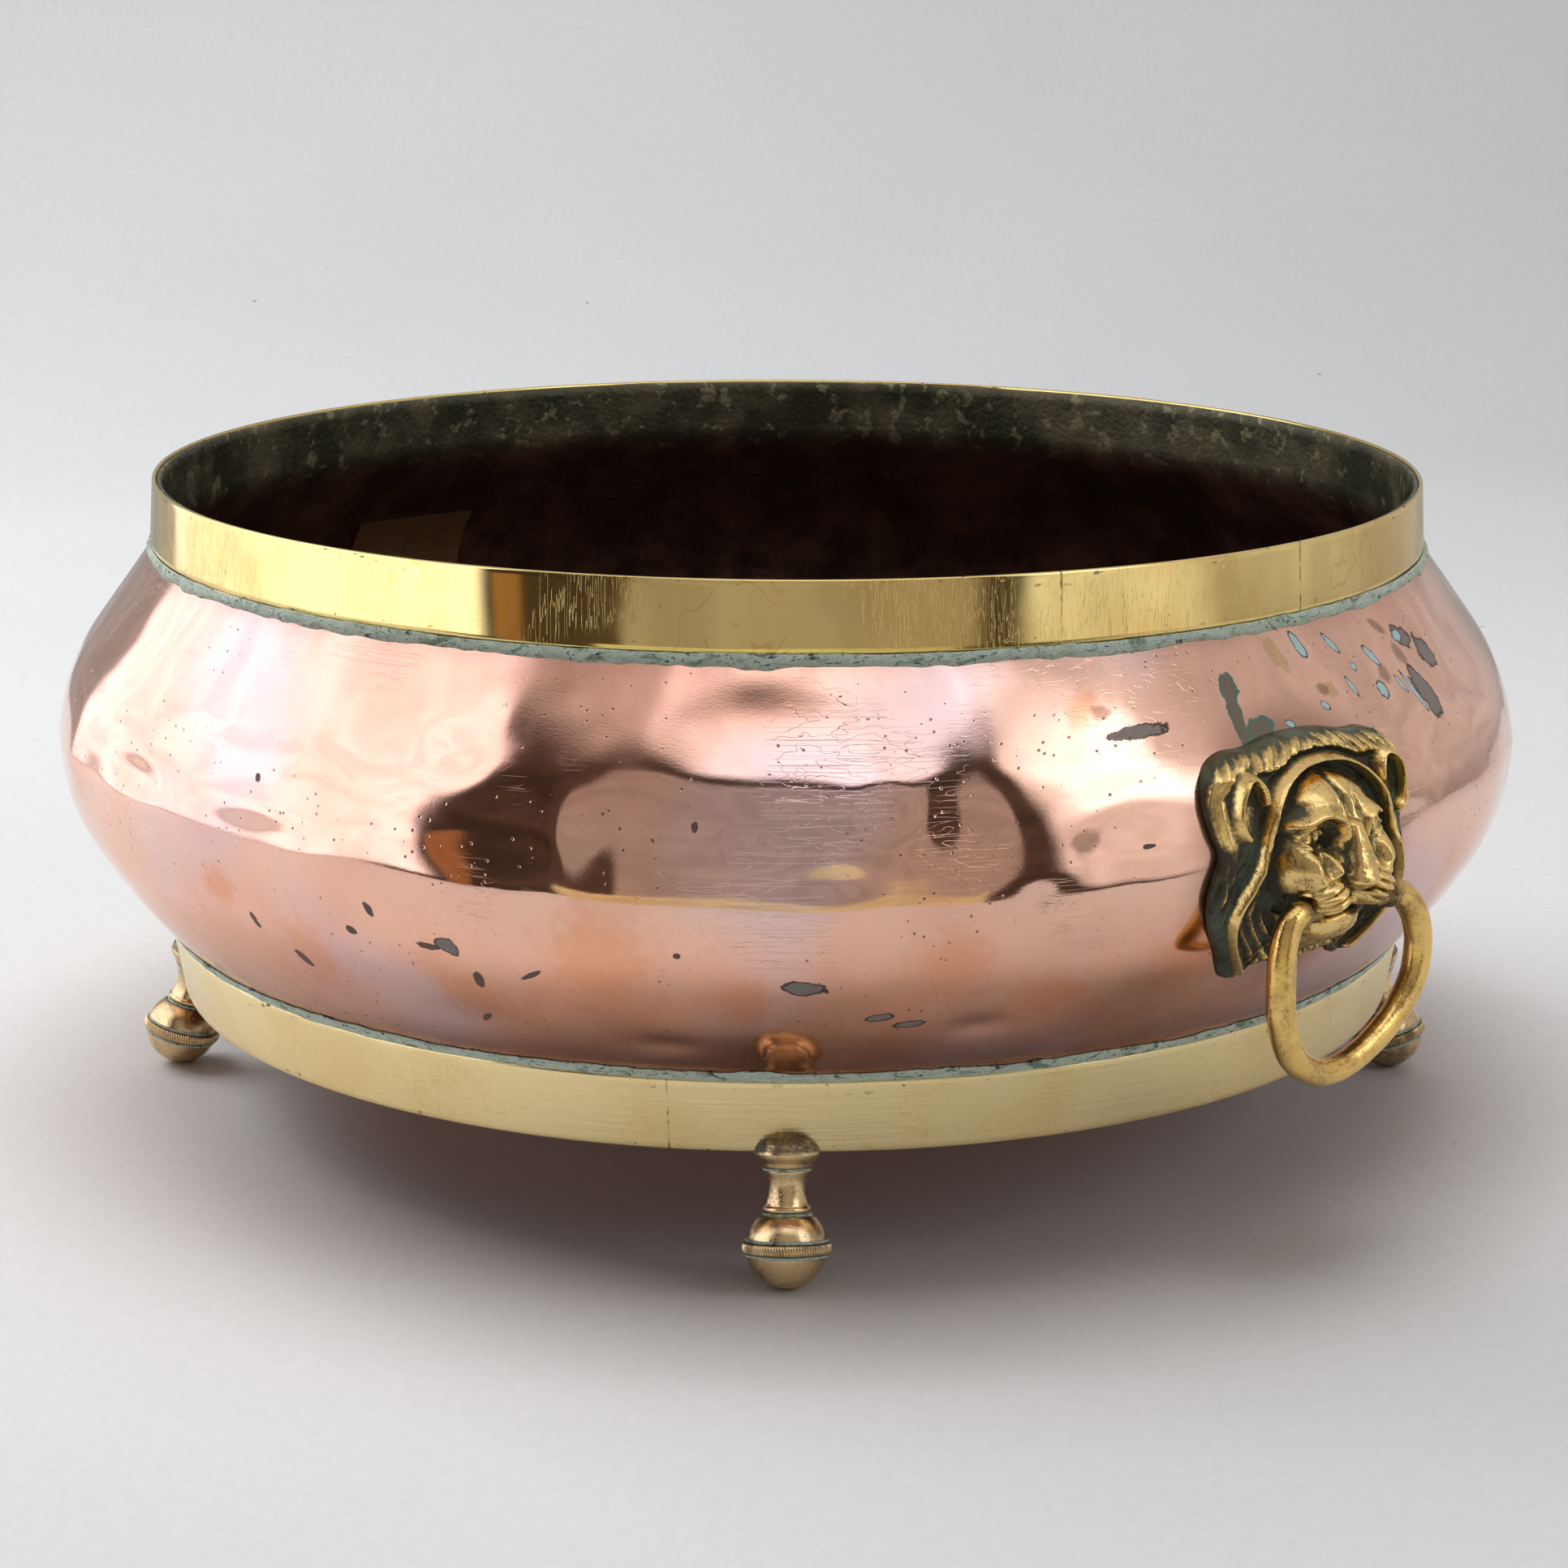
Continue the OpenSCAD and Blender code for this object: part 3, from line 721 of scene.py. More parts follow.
@dataclass(frozen=True)
class SheetBrassFinish:
    """Rolled brass strip, polished, with fine lines along it and faint stains.

    Attributes:
        name: Name of the material.
        metal: Colour of the clean metal.
        honey: Colour of the stains.
        gloss: Roughness of the clean metal.
        lines: Depth of the fine lines.
        seams: Angles of the upright seams, in degrees round the pot.
        foot_z: Height of the strip's lower edge, in metres.
        head_z: Height of its upper edge.
    """

    name: str
    metal: Colour
    honey: Colour
    gloss: float
    lines: float
    seams: tuple[float, ...]
    foot_z: float
    head_z: float

    def build(self) -> bpy.types.Material:
        """Builds the material."""
        g = Graph(self.name)
        around = g.round_pot()
        u, z, _ = g.axes(around)
        cloud = g.noise(22.0, 4.0, 0.55)
        water = g.noise(60.0, 2.0, 0.45, g.stretched((1.0, 1.0, 1.2)), 0.6)
        colour = g.mix(g.step(cloud, 0.4, 0.7, 0.0, 0.5), self.metal, self.honey)
        tide = g.step(g.maths("ABSOLUTE", g.maths("SUBTRACT", water, 0.56)), 0.016, 0.002)
        tide = g.maths("MULTIPLY", tide, g.step(g.noise(13.0, 1.0), 0.5, 0.6))
        colour = g.mix(g.maths("MULTIPLY", tide, 0.5), colour, self.honey)
        # brown spots near the two edges
        height = self.head_z - self.foot_z
        near_head = g.step(z, self.head_z - 0.28 * height, self.head_z)
        near_foot = g.step(z, self.foot_z + 0.2 * height, self.foot_z)
        edge = g.maths("MAXIMUM", near_head, near_foot)
        patches = g.noise(230.0, 3.0, 0.5, g.stretched((1.0, 2.0, 1.0), around))
        spots = g.maths("MULTIPLY", g.step(patches, 0.66, 0.70), edge)
        spots = g.maths("MULTIPLY", spots, g.step(g.noise(19.0, 1.0), 0.44, 0.56))
        colour = g.mix(g.maths("MULTIPLY", spots, 0.85), colour, (0.13, 0.07, 0.02))
        fleck = g.step(g.cells(330.0), 0.10, 0.04)
        fleck = g.maths("MULTIPLY", fleck, g.step(g.noise(24.0), 0.52, 0.62))
        colour = g.mix(g.maths("MULTIPLY", fleck, 0.7), colour, (0.14, 0.09, 0.03))
        # upright seams, a dark hairline with green specks
        seam: Any = 0.0
        for angle in self.seams:
            off = g.maths("ABSOLUTE", g.maths("SUBTRACT", u, math.radians(angle) * 0.2))
            off = g.maths("ADD", off, g.maths("MULTIPLY", g.noise(180.0, 2.0), 0.0012))
            seam = g.maths("MAXIMUM", seam, g.step(off, 0.00095, 0.00062))
        broken_seam = g.maths("MULTIPLY", seam, g.step(g.noise(420.0), 0.38, 0.6))
        colour = g.mix(broken_seam, colour, (0.16, 0.17, 0.10))
        brushed = g.noise(1.0, 3.0, 0.7, g.stretched((30.0, 1500.0, 30.0), around))
        cross = g.noise(1.0, 2.0, 0.6, g.stretched((900.0, 60.0, 60.0), around, (0.0, 0.0, 0.5)))
        scratch = g.step(g.maths("ABSOLUTE", g.maths("SUBTRACT", cross, 0.5)), 0.012, 0.0)
        scratch = g.maths("MULTIPLY", scratch, g.step(cloud, 0.45, 0.62))
        rough = g.maths("ADD", self.gloss, g.maths("MULTIPLY", g.step(cloud, 0.3, 0.75), 0.09))
        rough = g.maths("ADD", rough, g.maths("MULTIPLY", g.maths("MAXIMUM", spots, fleck), 0.3))
        g.surface(base_color=colour, metallic=1.0, roughness=rough)
        bump = g.maths("ADD", g.maths("MULTIPLY", brushed, self.lines), g.maths("MULTIPLY", scratch, -0.3))
        bump = g.maths("SUBTRACT", bump, g.maths("MULTIPLY", g.maths("MAXIMUM", spots, seam), 0.5))
        g.relief(bump, 0.00010)
        return g.material


@dataclass(frozen=True)
class VerdigrisFinish:
    """Old solder seam, crusted pale green with black and grey breaks.

    Attributes:
        name: Name of the material.
        pale: Colour of the crust.
        deep: Colour of the darker green.
    """

    name: str = "verdigris_seam"
    pale: Colour = (0.52, 0.62, 0.48)
    deep: Colour = (0.13, 0.22, 0.14)

    def build(self) -> bpy.types.Material:
        """Builds the material."""
        g = Graph(self.name)
        around = g.round_pot()
        run = g.stretched((1.0, 2.6, 2.6), around)
        crust = g.noise(210.0, 5.0, 0.65, run, 0.6)
        breaks = g.noise(95.0, 4.0, 0.6, run, 0.8)
        grain = g.noise(900.0, 3.0, 0.6)
        colour = g.mix(g.step(crust, 0.38, 0.62), self.pale, (0.62, 0.72, 0.62))
        colour = g.mix(g.step(breaks, 0.56, 0.66, 0.0, 0.85), colour, self.deep)
        colour = g.mix(g.step(crust, 0.58, 0.66), colour, (0.035, 0.045, 0.035))
        colour = g.mix(g.step(grain, 0.58, 0.68, 0.0, 0.75), colour, (0.07, 0.10, 0.06))
        colour = g.mix(g.maths("MULTIPLY", g.step(breaks, 0.42, 0.34), 0.8), colour, (0.38, 0.38, 0.34))
        g.surface(base_color=colour, roughness=g.step(grain, 0.3, 0.7, 0.6, 0.9), metallic=0.0)
        g.relief(g.maths("ADD", g.maths("MULTIPLY", crust, 1.4), g.maths("MULTIPLY", grain, 0.4)), 0.0004)
        return g.material


@dataclass(frozen=True)
class CastBrassFinish:
    """Cast brass that is rubbed bright on its high points and dark in its hollows.

    The share of patina comes from the number "patina" stored at the vertices.

    Attributes:
        name: Name of the material.
        metal: Colour of the rubbed metal.
        dark: Colour of the patina.
        green: Colour of the verdigris in the deepest places.
        gloss: Roughness of the rubbed metal.
        pits: How strongly the surface is pitted.
    """

    name: str
    metal: Colour = (0.86, 0.62, 0.26)
    dark: Colour = (0.052, 0.044, 0.024)
    green: Colour = (0.095, 0.125, 0.085)
    gloss: float = 0.13
    pits: float = 1.0

    def build(self) -> bpy.types.Material:
        """Builds the material."""
        g = Graph(self.name)
        patina = g.stored("patina")
        grain = g.noise(900.0, 4.0, 0.65)
        blotch = g.noise(120.0, 4.0, 0.6)
        share = g.maths("ADD", patina, g.maths("MULTIPLY", g.maths("SUBTRACT", grain, 0.5), 0.9))
        share = g.maths("ADD", share, g.maths("MULTIPLY", g.maths("SUBTRACT", blotch, 0.5), 0.6))
        dark = g.step(share, 0.30, 0.78)
        deep = g.step(share, 0.62, 0.92)
        warm = g.mix(g.step(blotch, 0.4, 0.7), self.metal, tuple(0.8 * c for c in self.metal))
        warm = g.mix(g.step(share, 0.12, 0.42, 0.0, 0.7), warm, tuple(0.45 * c for c in self.metal))
        colour = g.mix(dark, warm, self.dark)
        colour = g.mix(g.maths("MULTIPLY", deep, g.step(blotch, 0.42, 0.62)), colour, self.green)
        pit = g.maths("MULTIPLY", g.step(g.cells(1100.0), 0.26, 0.12), g.step(blotch, 0.46, 0.6))
        pit = g.maths("MULTIPLY", pit, self.pits)
        colour = g.mix(g.maths("MULTIPLY", pit, 0.8), colour, self.dark)
        rough = g.maths("ADD", self.gloss, g.maths("MULTIPLY", blotch, 0.1))
        rough = g.maths("ADD", rough, g.maths("MULTIPLY", dark, 0.3))
        metal = g.maths("SUBTRACT", 1.0, g.maths("MULTIPLY", dark, 0.75))
        g.surface(base_color=colour, metallic=metal, roughness=rough)
        height = g.maths("ADD", g.maths("MULTIPLY", grain, 0.5), g.maths("MULTIPLY", pit, -1.2))
        g.relief(height, 0.00016)
        return g.material


@dataclass(frozen=True)
class SteelFinish:
    """Dull grey steel of the hidden rods, studs and nuts."""

    colour: Colour = (0.30, 0.29, 0.27)

    def build(self) -> bpy.types.Material:
        """Builds the material."""
        g = Graph("dull_steel")
        rust = g.noise(260.0, 4.0, 0.6)
        colour = g.mix(g.step(rust, 0.5, 0.7), self.colour, (0.13, 0.07, 0.04))
        g.surface(base_color=colour, metallic=0.9, roughness=g.step(rust, 0.3, 0.7, 0.38, 0.62))
        g.relief(rust, 0.0002)
        return g.material


# --------------------------------------------------------------------------------------
# The pot's outline, shared by everything that lies on the copper
# --------------------------------------------------------------------------------------


@dataclass
class PotOutline:
    """The bowl's outline, as arcs that run into each other, in millimetres.

    The seat of the base band, the neck and the widest line come from the frame. A
    straight shoulder runs from the foot of the neck and just touches the belly's round,
    the flatter lower curve touches that round from below and ends at the band's seat,
    and the corner arc turns under it into the flat bottom.
    """

    belly_r: float
    belly_z: float
    neck_r: float
    neck_z: float
    seat_r: float
    seat_z: float
    belly_round: float = 50.0
    lower_round: float = 160.0
    floor_round: float = 35.0

    def __post_init__(self) -> None:
        """Works out the arcs' middles and the angles where they meet."""
        self.belly_mid = np.array([self.belly_r - self.belly_round, self.belly_z])
        neck = np.array([self.neck_r, self.neck_z]) - self.belly_mid
        self.shoulder = math.atan2(neck[1], neck[0]) - math.acos(self.belly_round / np.hypot(*neck))
        seat = np.array([self.seat_r, self.seat_z]) - self.belly_mid
        gap = self.lower_round - self.belly_round
        k = (self.lower_round**2 - gap**2 - seat @ seat) / (2 * gap)
        self.low = math.atan2(-seat[1], seat[0]) - math.acos(k / np.hypot(*seat))
        self.lower_mid = self.belly_mid - gap * np.array([math.cos(self.low), -math.sin(self.low)])
        self.seat = math.asin((self.lower_mid[1] - self.seat_z) / self.lower_round)
        reach = self.lower_round - self.floor_round
        self.floor_mid = self.lower_mid + reach * np.array([math.cos(self.seat), -math.sin(self.seat)])

    def wall(self, inset: float, steps: tuple[int, int, int, int, int]) -> Array:
        """Outline from the bottom's middle to the foot of the neck.

        Args:
            inset: How far to move it inwards.
            steps: Numbers of points on the bottom, corner, lower curve, belly and shoulder.

        Returns:
            Array of (radius, height) rows.
        """

        def arc(mid: Array, radius: float, start: float, end: float, count: int) -> Array:
            """Points on a circle from one angle up to, but not at, another."""
            angle = np.linspace(start, end, count, endpoint=False)[:, None]
            return mid + radius * np.hstack([np.cos(angle), np.sin(angle)])

        across = np.linspace(0.0, 1.0, steps[0], endpoint=False) * self.floor_mid[0]
        level = np.full(steps[0], self.floor_mid[1] - self.floor_round + inset)
        bottom = np.stack([across, level], axis=1)
        bottom[0, 0] = 0.05
        corner = arc(self.floor_mid, self.floor_round - inset, -math.pi / 2, -self.seat, steps[1])
        lower = arc(self.lower_mid, self.lower_round - inset, -self.seat, -self.low, steps[2])
        belly = arc(self.belly_mid, self.belly_round - inset, -self.low, self.shoulder, steps[3])
        slant = np.array([math.cos(self.shoulder), math.sin(self.shoulder)])
        touch = self.belly_mid + (self.belly_round - inset) * slant
        foot_z = touch[1] + (touch[0] - self.neck_r + inset) / math.tan(self.shoulder)
        foot = np.array([self.neck_r - inset, foot_z])
        shoulder = touch + (foot - touch) * np.linspace(0.0, 1.0, steps[4])[:, None]
        return np.vstack([bottom, corner, lower, belly, shoulder])

    def radius_at(self, z: Array) -> Array:
        """Outside radius of the copper at a height between the band and the collar."""
        z = np.asarray(z, float)
        touch_z = self.belly_z + self.belly_round * math.sin(self.shoulder)
        meet_z = self.belly_z - self.belly_round * math.sin(self.low)
        belly = self.belly_mid[0] + np.sqrt(np.clip(self.belly_round**2 - (z - self.belly_z) ** 2, 0, None))
        drop = z - self.lower_mid[1]
        lower = self.lower_mid[0] + np.sqrt(np.clip(self.lower_round**2 - drop**2, 0, None))
        cone = self.neck_r + (self.neck_z - z) * math.tan(self.shoulder)
        return np.where(z > touch_z, cone, np.where(z < meet_z, lower, belly))


@dataclass(frozen=True)
class Dent:
    """A knock in the copper.

    Attributes:
        angle: Where it is round the pot, in degrees.
        height: Its height, in millimetres.
        wide: Its half width round the pot.
        tall: Its half height.
        depth: How far its middle is pushed in, or out if negative.
    """

    angle: float
    height: float
    wide: float
    tall: float
    depth: float

    def push(self, angle: Array, z: Array, radius: float) -> Array:
        """How far each point is pushed in: depth times exp(-(distance in half widths)^2)."""
        off = (angle - math.radians(self.angle) + math.pi) % TAU - math.pi
        return self.depth * np.exp(-((off * radius / self.wide) ** 2) - ((z - self.height) / self.tall) ** 2)


KNOCKS = (
    Dent(-63.5, 139, 8, 5, 1.2), Dent(-69, 140, 12, 9, 0.7), Dent(-74, 128, 9, 12, 0.5),
    Dent(-32.6, 130, 5.2, 4.4, 1.7), Dent(-32.6, 130, 11, 9, -1.3), Dent(-27, 126, 9, 11, 0.9),
    Dent(-41.3, 122, 4.6, 3.6, 1.1), Dent(-40, 121, 10, 6, -0.6), Dent(-36, 114, 7, 4, 0.8),
    Dent(-50, 128, 16, 8, 1.0), Dent(-55, 122, 6, 10, -0.7), Dent(-15, 122, 12, 5, 0.6),
    Dent(-58, 118, 16, 4, 0.5), Dent(-48, 66, 9, 3, 0.8), Dent(-25, 72, 7, 3, 0.7),
    Dent(-80, 112, 18, 6, 0.9), Dent(-95, 118, 14, 5, 0.8), Dent(-108, 112, 10, 6, -0.7),
    Dent(20, 128, 16, 10, 0.7), Dent(8, 112, 14, 3, 0.8), Dent(-22, 108, 9, 4, 0.7),
)


# --------------------------------------------------------------------------------------
# Sub-assemblies
# --------------------------------------------------------------------------------------


@dataclass
class Bowl:
    """The raised copper shell, a little out of true and knocked about.

    Attributes:
        outline: The pot's outline.
        copper: Thickness of the sheet.
        rim_z: Height of the lining's edge.
        lean: How much narrower the neck is at its top.
        columns: Number of points round.
    """

    outline: PotOutline
    copper: float
    rim_z: float
    lean: float
    columns: int = 600

    def knocked(self, points: Array) -> Array:
        """Moves the wall's points in and out: knocks, seeded small dents and slow waves.

        The waves are sums of sines round the pot and up it, and all of it fades out at the
        collar and at the band, where the strips hold the copper true.

        Args:
            points: Array of rows x columns x 3.

        Returns:
            The moved points.
        """
        angle = np.arctan2(points[..., 1], points[..., 0])
        z = points[..., 2]
        push = sum(k.push(angle, z, self.outline.belly_r) for k in KNOCKS)
        rng = np.random.default_rng(SEED)
        for _ in range(46):
            size = rng.uniform(4.0, 15.0)
            angle_at, height_at = rng.uniform(0, 360), rng.uniform(66, 150)
            tall, depth = size * rng.uniform(0.4, 1.0), rng.uniform(-0.12, 0.30)
            small = Dent(angle_at, height_at, size, tall, depth)
            push = push + small.push(angle, z, self.outline.belly_r)
        height = (z - self.outline.belly_z) / 50.0
        wave = 0.35 * np.sin(5 * angle + 2.2 * height) + 0.22 * np.sin(9 * angle - 3.0 * height + 1.0)
        wave = wave + 0.12 * np.sin(17 * angle + 4.0 * height + 2.0)
        wave = wave + 0.10 * np.sin(29 * angle - 6.0 * height)
        lumps = cast_noise(points[..., 0], points[..., 1], z, 17.0) * 0.18
        lumps = lumps + cast_noise(points[..., 0], points[..., 1], z, 7.0, 5) * 0.05
        crease = 0.28 * np.exp(-(((z - self.outline.belly_z - 1.5 * np.sin(3 * angle)) / 3.2) ** 2))
        hold = smooth_step(z, self.outline.seat_z + 1, self.outline.seat_z + 16)
        hold = hold * smooth_step(z, self.outline.neck_z - 1, self.outline.neck_z - 16)
        radius = np.hypot(points[..., 0], points[..., 1])
        change = (wave + lumps + crease - push) * hold
        scale = (radius + change) / np.maximum(radius, 1e-6)
        return np.concatenate([points[..., :2] * scale[..., None], z[..., None]], axis=-1)

    def build(self, copper: bpy.types.Material, dark: bpy.types.Material) -> bpy.types.Object:
        """Builds the shell as one closed surface, copper outside and, inside, copper darkened by painted
        shade.
        """
        outside = self.outline.wall(0.0, (4, 8, 24, 44, 16))
        inside = self.outline.wall(self.copper, (3, 6, 10, 16, 4))[::-1]
        top = self.outline.neck_r - self.lean
        lip = np.array([
            [top + 0.02, self.rim_z - 0.25],
            [top - 0.3, self.rim_z],
            [top - self.copper + 0.3, self.rim_z],
            [top - self.copper, self.rim_z - 0.3],
        ])
        neck = np.linspace(outside[-1], lip[0], 7)[1:-1]
        lining = np.linspace(lip[-1], inside[0], 7)[1:-1]
        profile = np.vstack([outside, neck, lip, lining, inside])
        points = self.knocked(lathe(profile, self.columns))
        grid = SheetGrid(points, flip=False)
        piece = grid_piece("copper_bowl_shell", grid, cap_ends=True)
        piece.data.materials.append(copper)
        piece.data.materials.append(dark)
        outer_rows = len(outside) + len(neck)
        slot = np.zeros(len(piece.data.polygons), np.int32)
        slot[outer_rows * self.columns:] = 1
        slot[-2] = 0
        piece.data.polygons.foreach_set("material_index", slot)
        return piece


@dataclass
class Strip:
    """A brass strip bent round the pot and closed, with rounded edges and slight waves.

    Attributes:
        name: Name of the piece.
        foot: Outside radius and height of its lower edge.
        head: Outside radius and height of its upper edge.
        thick: Thickness of the strip.
        wave: Depth of its slow waves.
        columns: Number of points round.
    """

    name: str
    foot: tuple[float, float]
    head: tuple[float, float]
    thick: float
    wave: float = 0.12
    columns: int = 720

    def build(self, finish: bpy.types.Material) -> bpy.types.Object:
        """Builds the strip: a rectangle with round ends carried round the pot."""
        edge = self.thick / 2
        foot, head = np.array(self.foot), np.array(self.head)
        up = (head - foot) / np.linalg.norm(head - foot)
        out = np.array([up[1], -up[0]])
        angle = np.linspace(0.0, math.pi, 7)[:, None]
        low = foot - out * edge + up * edge + edge * (-np.sin(angle) * up - np.cos(angle) * out)
        high = head - out * edge - up * edge + edge * (np.sin(angle) * up + np.cos(angle) * out)
        outer = np.linspace(low[-1], high[0], 16)[1:-1]
        inner = np.linspace(high[-1], low[0], 6)[1:-1]
        profile = np.vstack([low, outer, high, inner])
        points = lathe(profile, self.columns)
        turn = np.arctan2(points[..., 1], points[..., 0])
        lift = (points[..., 2] - self.foot[1]) / (self.head[1] - self.foot[1])
        waves = np.sin(6 * turn + 1.0) + 0.6 * np.sin(11 * turn + 3.0 * lift)
        waves = waves + 0.35 * np.sin(23 * turn - 2.0 * lift)
        lumps = cast_noise(points[..., 0], points[..., 1], points[..., 2], 9.0, 3)
        change = self.wave * waves + lumps * self.wave * 0.35
        radius = np.hypot(points[..., 0], points[..., 1])
        points[..., :2] *= ((radius + change * 0.5) / radius)[..., None]
        piece = grid_piece(self.name, SheetGrid(points, wrap_rows=True))
        piece.data.materials.append(finish)
        return piece


@dataclass
class SolderBead:
    """A fillet of solder in the corner between a strip and the copper.

    Attributes:
        name: Name of the piece.
        corner: Radius and height of the corner it fills.
        strip_leg: Reach along the strip, as (radius, height).
        copper_leg: Reach along the copper, as (radius, height).
        bulge: How far its face stands out past a straight line.
        columns: Number of points round.
    """

    name: str
    corner: tuple[float, float]
    strip_leg: tuple[float, float]
    copper_leg: tuple[float, float]
    bulge: float
    columns: int = 900

    def build(self, finish: bpy.types.Material) -> bpy.types.Object:
        """Builds the fillet: its face is a bowed line whose two ends wander along the legs."""
        corner = np.array(self.corner)
        strip, copper = np.array(self.strip_leg), np.array(self.copper_leg)
        turn = np.arange(self.columns) * TAU / self.columns
        x, y = 190 * np.cos(turn), 190 * np.sin(turn)

        def wander(size: float, seed: int, amount: float) -> Array:
            """Factor that wanders about 1 round the pot."""
            return 1 + amount * cast_noise(x, y, np.zeros_like(x), size, seed)

        reach_strip = (wander(14.0, 11, 0.22) * wander(3.5, 12, 0.16))[None, :, None]
        reach_copper = (wander(18.0, 13, 0.25) * wander(4.0, 14, 0.2))[None, :, None]
        t = np.linspace(0.0, 1.0, 9)[:, None, None]
        face = corner + strip * reach_strip * (1 - t) + copper * reach_copper * t
        normal = (strip + copper) / np.linalg.norm(strip + copper)
        crust = wander(2.4, 15, 0.6)[None, :, None]
        face = face + normal * self.bulge * crust * np.sin(math.pi * t)
        back = corner - normal * 0.5 + np.zeros((1, self.columns, 1))
        profile = np.concatenate([face, back], axis=0)
        radius, height = profile[..., 0], profile[..., 1]
        points = np.stack([radius * np.cos(turn), radius * np.sin(turn), height], axis=-1)
        grid = SheetGrid(points, wrap_rows=True)
        piece = grid_piece(self.name, grid)
        piece.data.materials.append(finish)
        return piece


@dataclass
class BallFoot:
    """One splayed foot: cup, neck, ball and milled ring, turned about one tilted axis.

    Attributes:
        which: Which foot it is.
        top: Point where its axis crosses the height of the band's edge.
        axis: Unit vector down the foot's axis.
        ball_mid: Distance of the ball's middle down the axis.
        ball_r: Radius of the ball.
        columns: Number of points round.
    """

    which: Foot
    top: Array
    axis: Array
    ball_mid: float
    ball_r: float
    columns: int = 144

    def turned_piece(
        self, part: str, outline: Array, rows: int, wobble: float = 0.03
    ) -> tuple[bpy.types.Object, Array]:
        """Carries an outline of (radius, distance down) rows round the foot's axis.

        Args:
            part: Last part of the piece's name.
            outline: The outline, closed at both ends on the axis.
            rows: Number of points along it.
            wobble: Depth of the worn unevenness.

        Returns:
            The piece, and the grid's distances down the axis.
        """
        line = even_spacing(outline, rows)
        line[[0, -1], 0] = 0.05
        flat = lathe(line, self.columns)
        lump = cast_noise(flat[..., 0], flat[..., 1], flat[..., 2] + 40 * len(part), 2.5, 21)
        radius = np.maximum(np.hypot(flat[..., 0], flat[..., 1]), 1e-3)
        flat[..., :2] *= (1 + wobble * lump * np.minimum(radius, 1) / radius)[..., None]
        grid = SheetGrid(self.placed(flat), flip=True)
        piece = grid_piece(f"foot_{self.which.value}_{part}_turned", grid, cap_ends=True)
        return piece, flat

    def placed(self, flat: Array) -> Array:
        """Puts points, with Z as the distance down the foot's axis, into the pot's frame."""
        side = np.cross(self.axis, [0.0, 0.0, 1.0])
        side /= np.linalg.norm(side)
        out = np.cross(side, self.axis)
        return self.top + flat[..., :1] * out + flat[..., 1:2] * side + flat[..., 2:] * self.axis

    def patina(self, piece: bpy.types.Object, depth: Array, flat: Array, bias: float = 0.0) -> None:
        """Stores where the piece is dark: in its grooves, and down one side of the foot."""
        angle = np.arctan2(flat[..., 1], flat[..., 0])
        lump = cast_noise(flat[..., 0], flat[..., 1], flat[..., 2], 3.0, 8)
        side = 0.34 * smooth_step(np.cos(angle - 1.9) + 0.35 * lump, 0.35, 0.95)
        store_attribute(piece, "patina", np.clip(0.10 + bias + side + depth, 0, 1))

    def cup(self) -> bpy.types.Object:
        """Domed cup that stands astride the band, down to its flat foot."""
        dome = [(8.7 * math.sin(t), -5.6 * math.cos(t)) for t in np.linspace(0.0, math.pi / 2, 10)]
        lip = [(8.75, 0.9), (8.3, 1.8), (7.2, 3.0), (6.7, 4.1), (6.35, 4.4), (0.0, 4.45)]
        piece, flat = self.turned_piece("cup", np.array([*dome, *lip]), 90)
        down = flat[..., 2]
        self.patina(piece, 0.45 * smooth_step(down, 0.5, -0.3) + 0.3 * smooth_step(down, 3.7, 4.3), flat)
        return piece

    def neck(self) -> bpy.types.Object:
        """Waisted neck with a bead at its lower end."""
        waist = [(5.3, 4.8), (6.0, 5.0), (5.85, 5.7), (5.2, 7.4), (4.95, 9.4), (5.05, 11.4), (5.5, 13.4)]
        bead = np.array([(5.75, 14.0), (6.15, 14.3), (6.3, 14.8), (6.15, 15.3), (5.7, 15.7), (0.0, 15.8)])
        piece, flat = self.turned_piece("neck", np.vstack([[0.0, 4.75], spline(waist, 40), bead]), 110)
        down = flat[..., 2]
        grooves = 0.3 * smooth_step(down, 15.2, 15.8) + 0.25 * smooth_step(down, 5.4, 4.9)
        self.patina(piece, grooves, flat, 0.04)
        return piece

    def ball_top(self, flat_off: float) -> bpy.types.Object:
        """Upper part of the ball, from the neck's bead to the milled ring.

        Args:
            flat_off: Distance of its flat, at the milled ring, from the ball's middle.

        Returns:
            The piece.
        """
        high = math.acos(min(1.0, (self.ball_mid - 16.35) / self.ball_r))
        angles = np.linspace(high, math.acos(flat_off / self.ball_r), 24)
        cap = [(self.ball_r * math.sin(t), self.ball_mid - self.ball_r * math.cos(t)) for t in angles]
        start, end = cap[0][1], cap[-1][1]
        outline = np.array([(0.0, start - 0.1), *cap, (0.0, end + 0.1)])
        piece, flat = self.turned_piece("ball_top", outline, 90)
        down = flat[..., 2]
        grooves = 0.35 * smooth_step(down, start + 1.0, start) + 0.3 * smooth_step(down, end - 0.9, end)
        self.patina(piece, grooves, flat)
        return piece

    def ball(self, flat_off: float, middle_z: float) -> bpy.types.Object:
        """Lower part of the ball, that stands on the ground.

        Args:
            flat_off: Distance of its flat, at the milled ring, from the ball's middle.
            middle_z: Height of the ball's middle above the ground.

        Returns:
            The piece.
        """
        wear = math.acos((middle_z - 0.02) / self.ball_r) if middle_z < self.ball_r else 0.05
        radius = self.ball_r - 0.15
        angles = np.linspace(math.acos(flat_off / self.ball_r), 0.02, 30)
        bowl = [(radius * math.sin(t), self.ball_mid + radius * math.cos(t)) for t in angles]
        start = bowl[0][1]
        piece, flat = self.turned_piece("ball", np.array([(0.0, start - 0.1), *bowl]), 90)
        self.patina(piece, 0.3 * smooth_step(flat[..., 2], start + 0.8, start), flat, 0.05 * wear)
        return piece

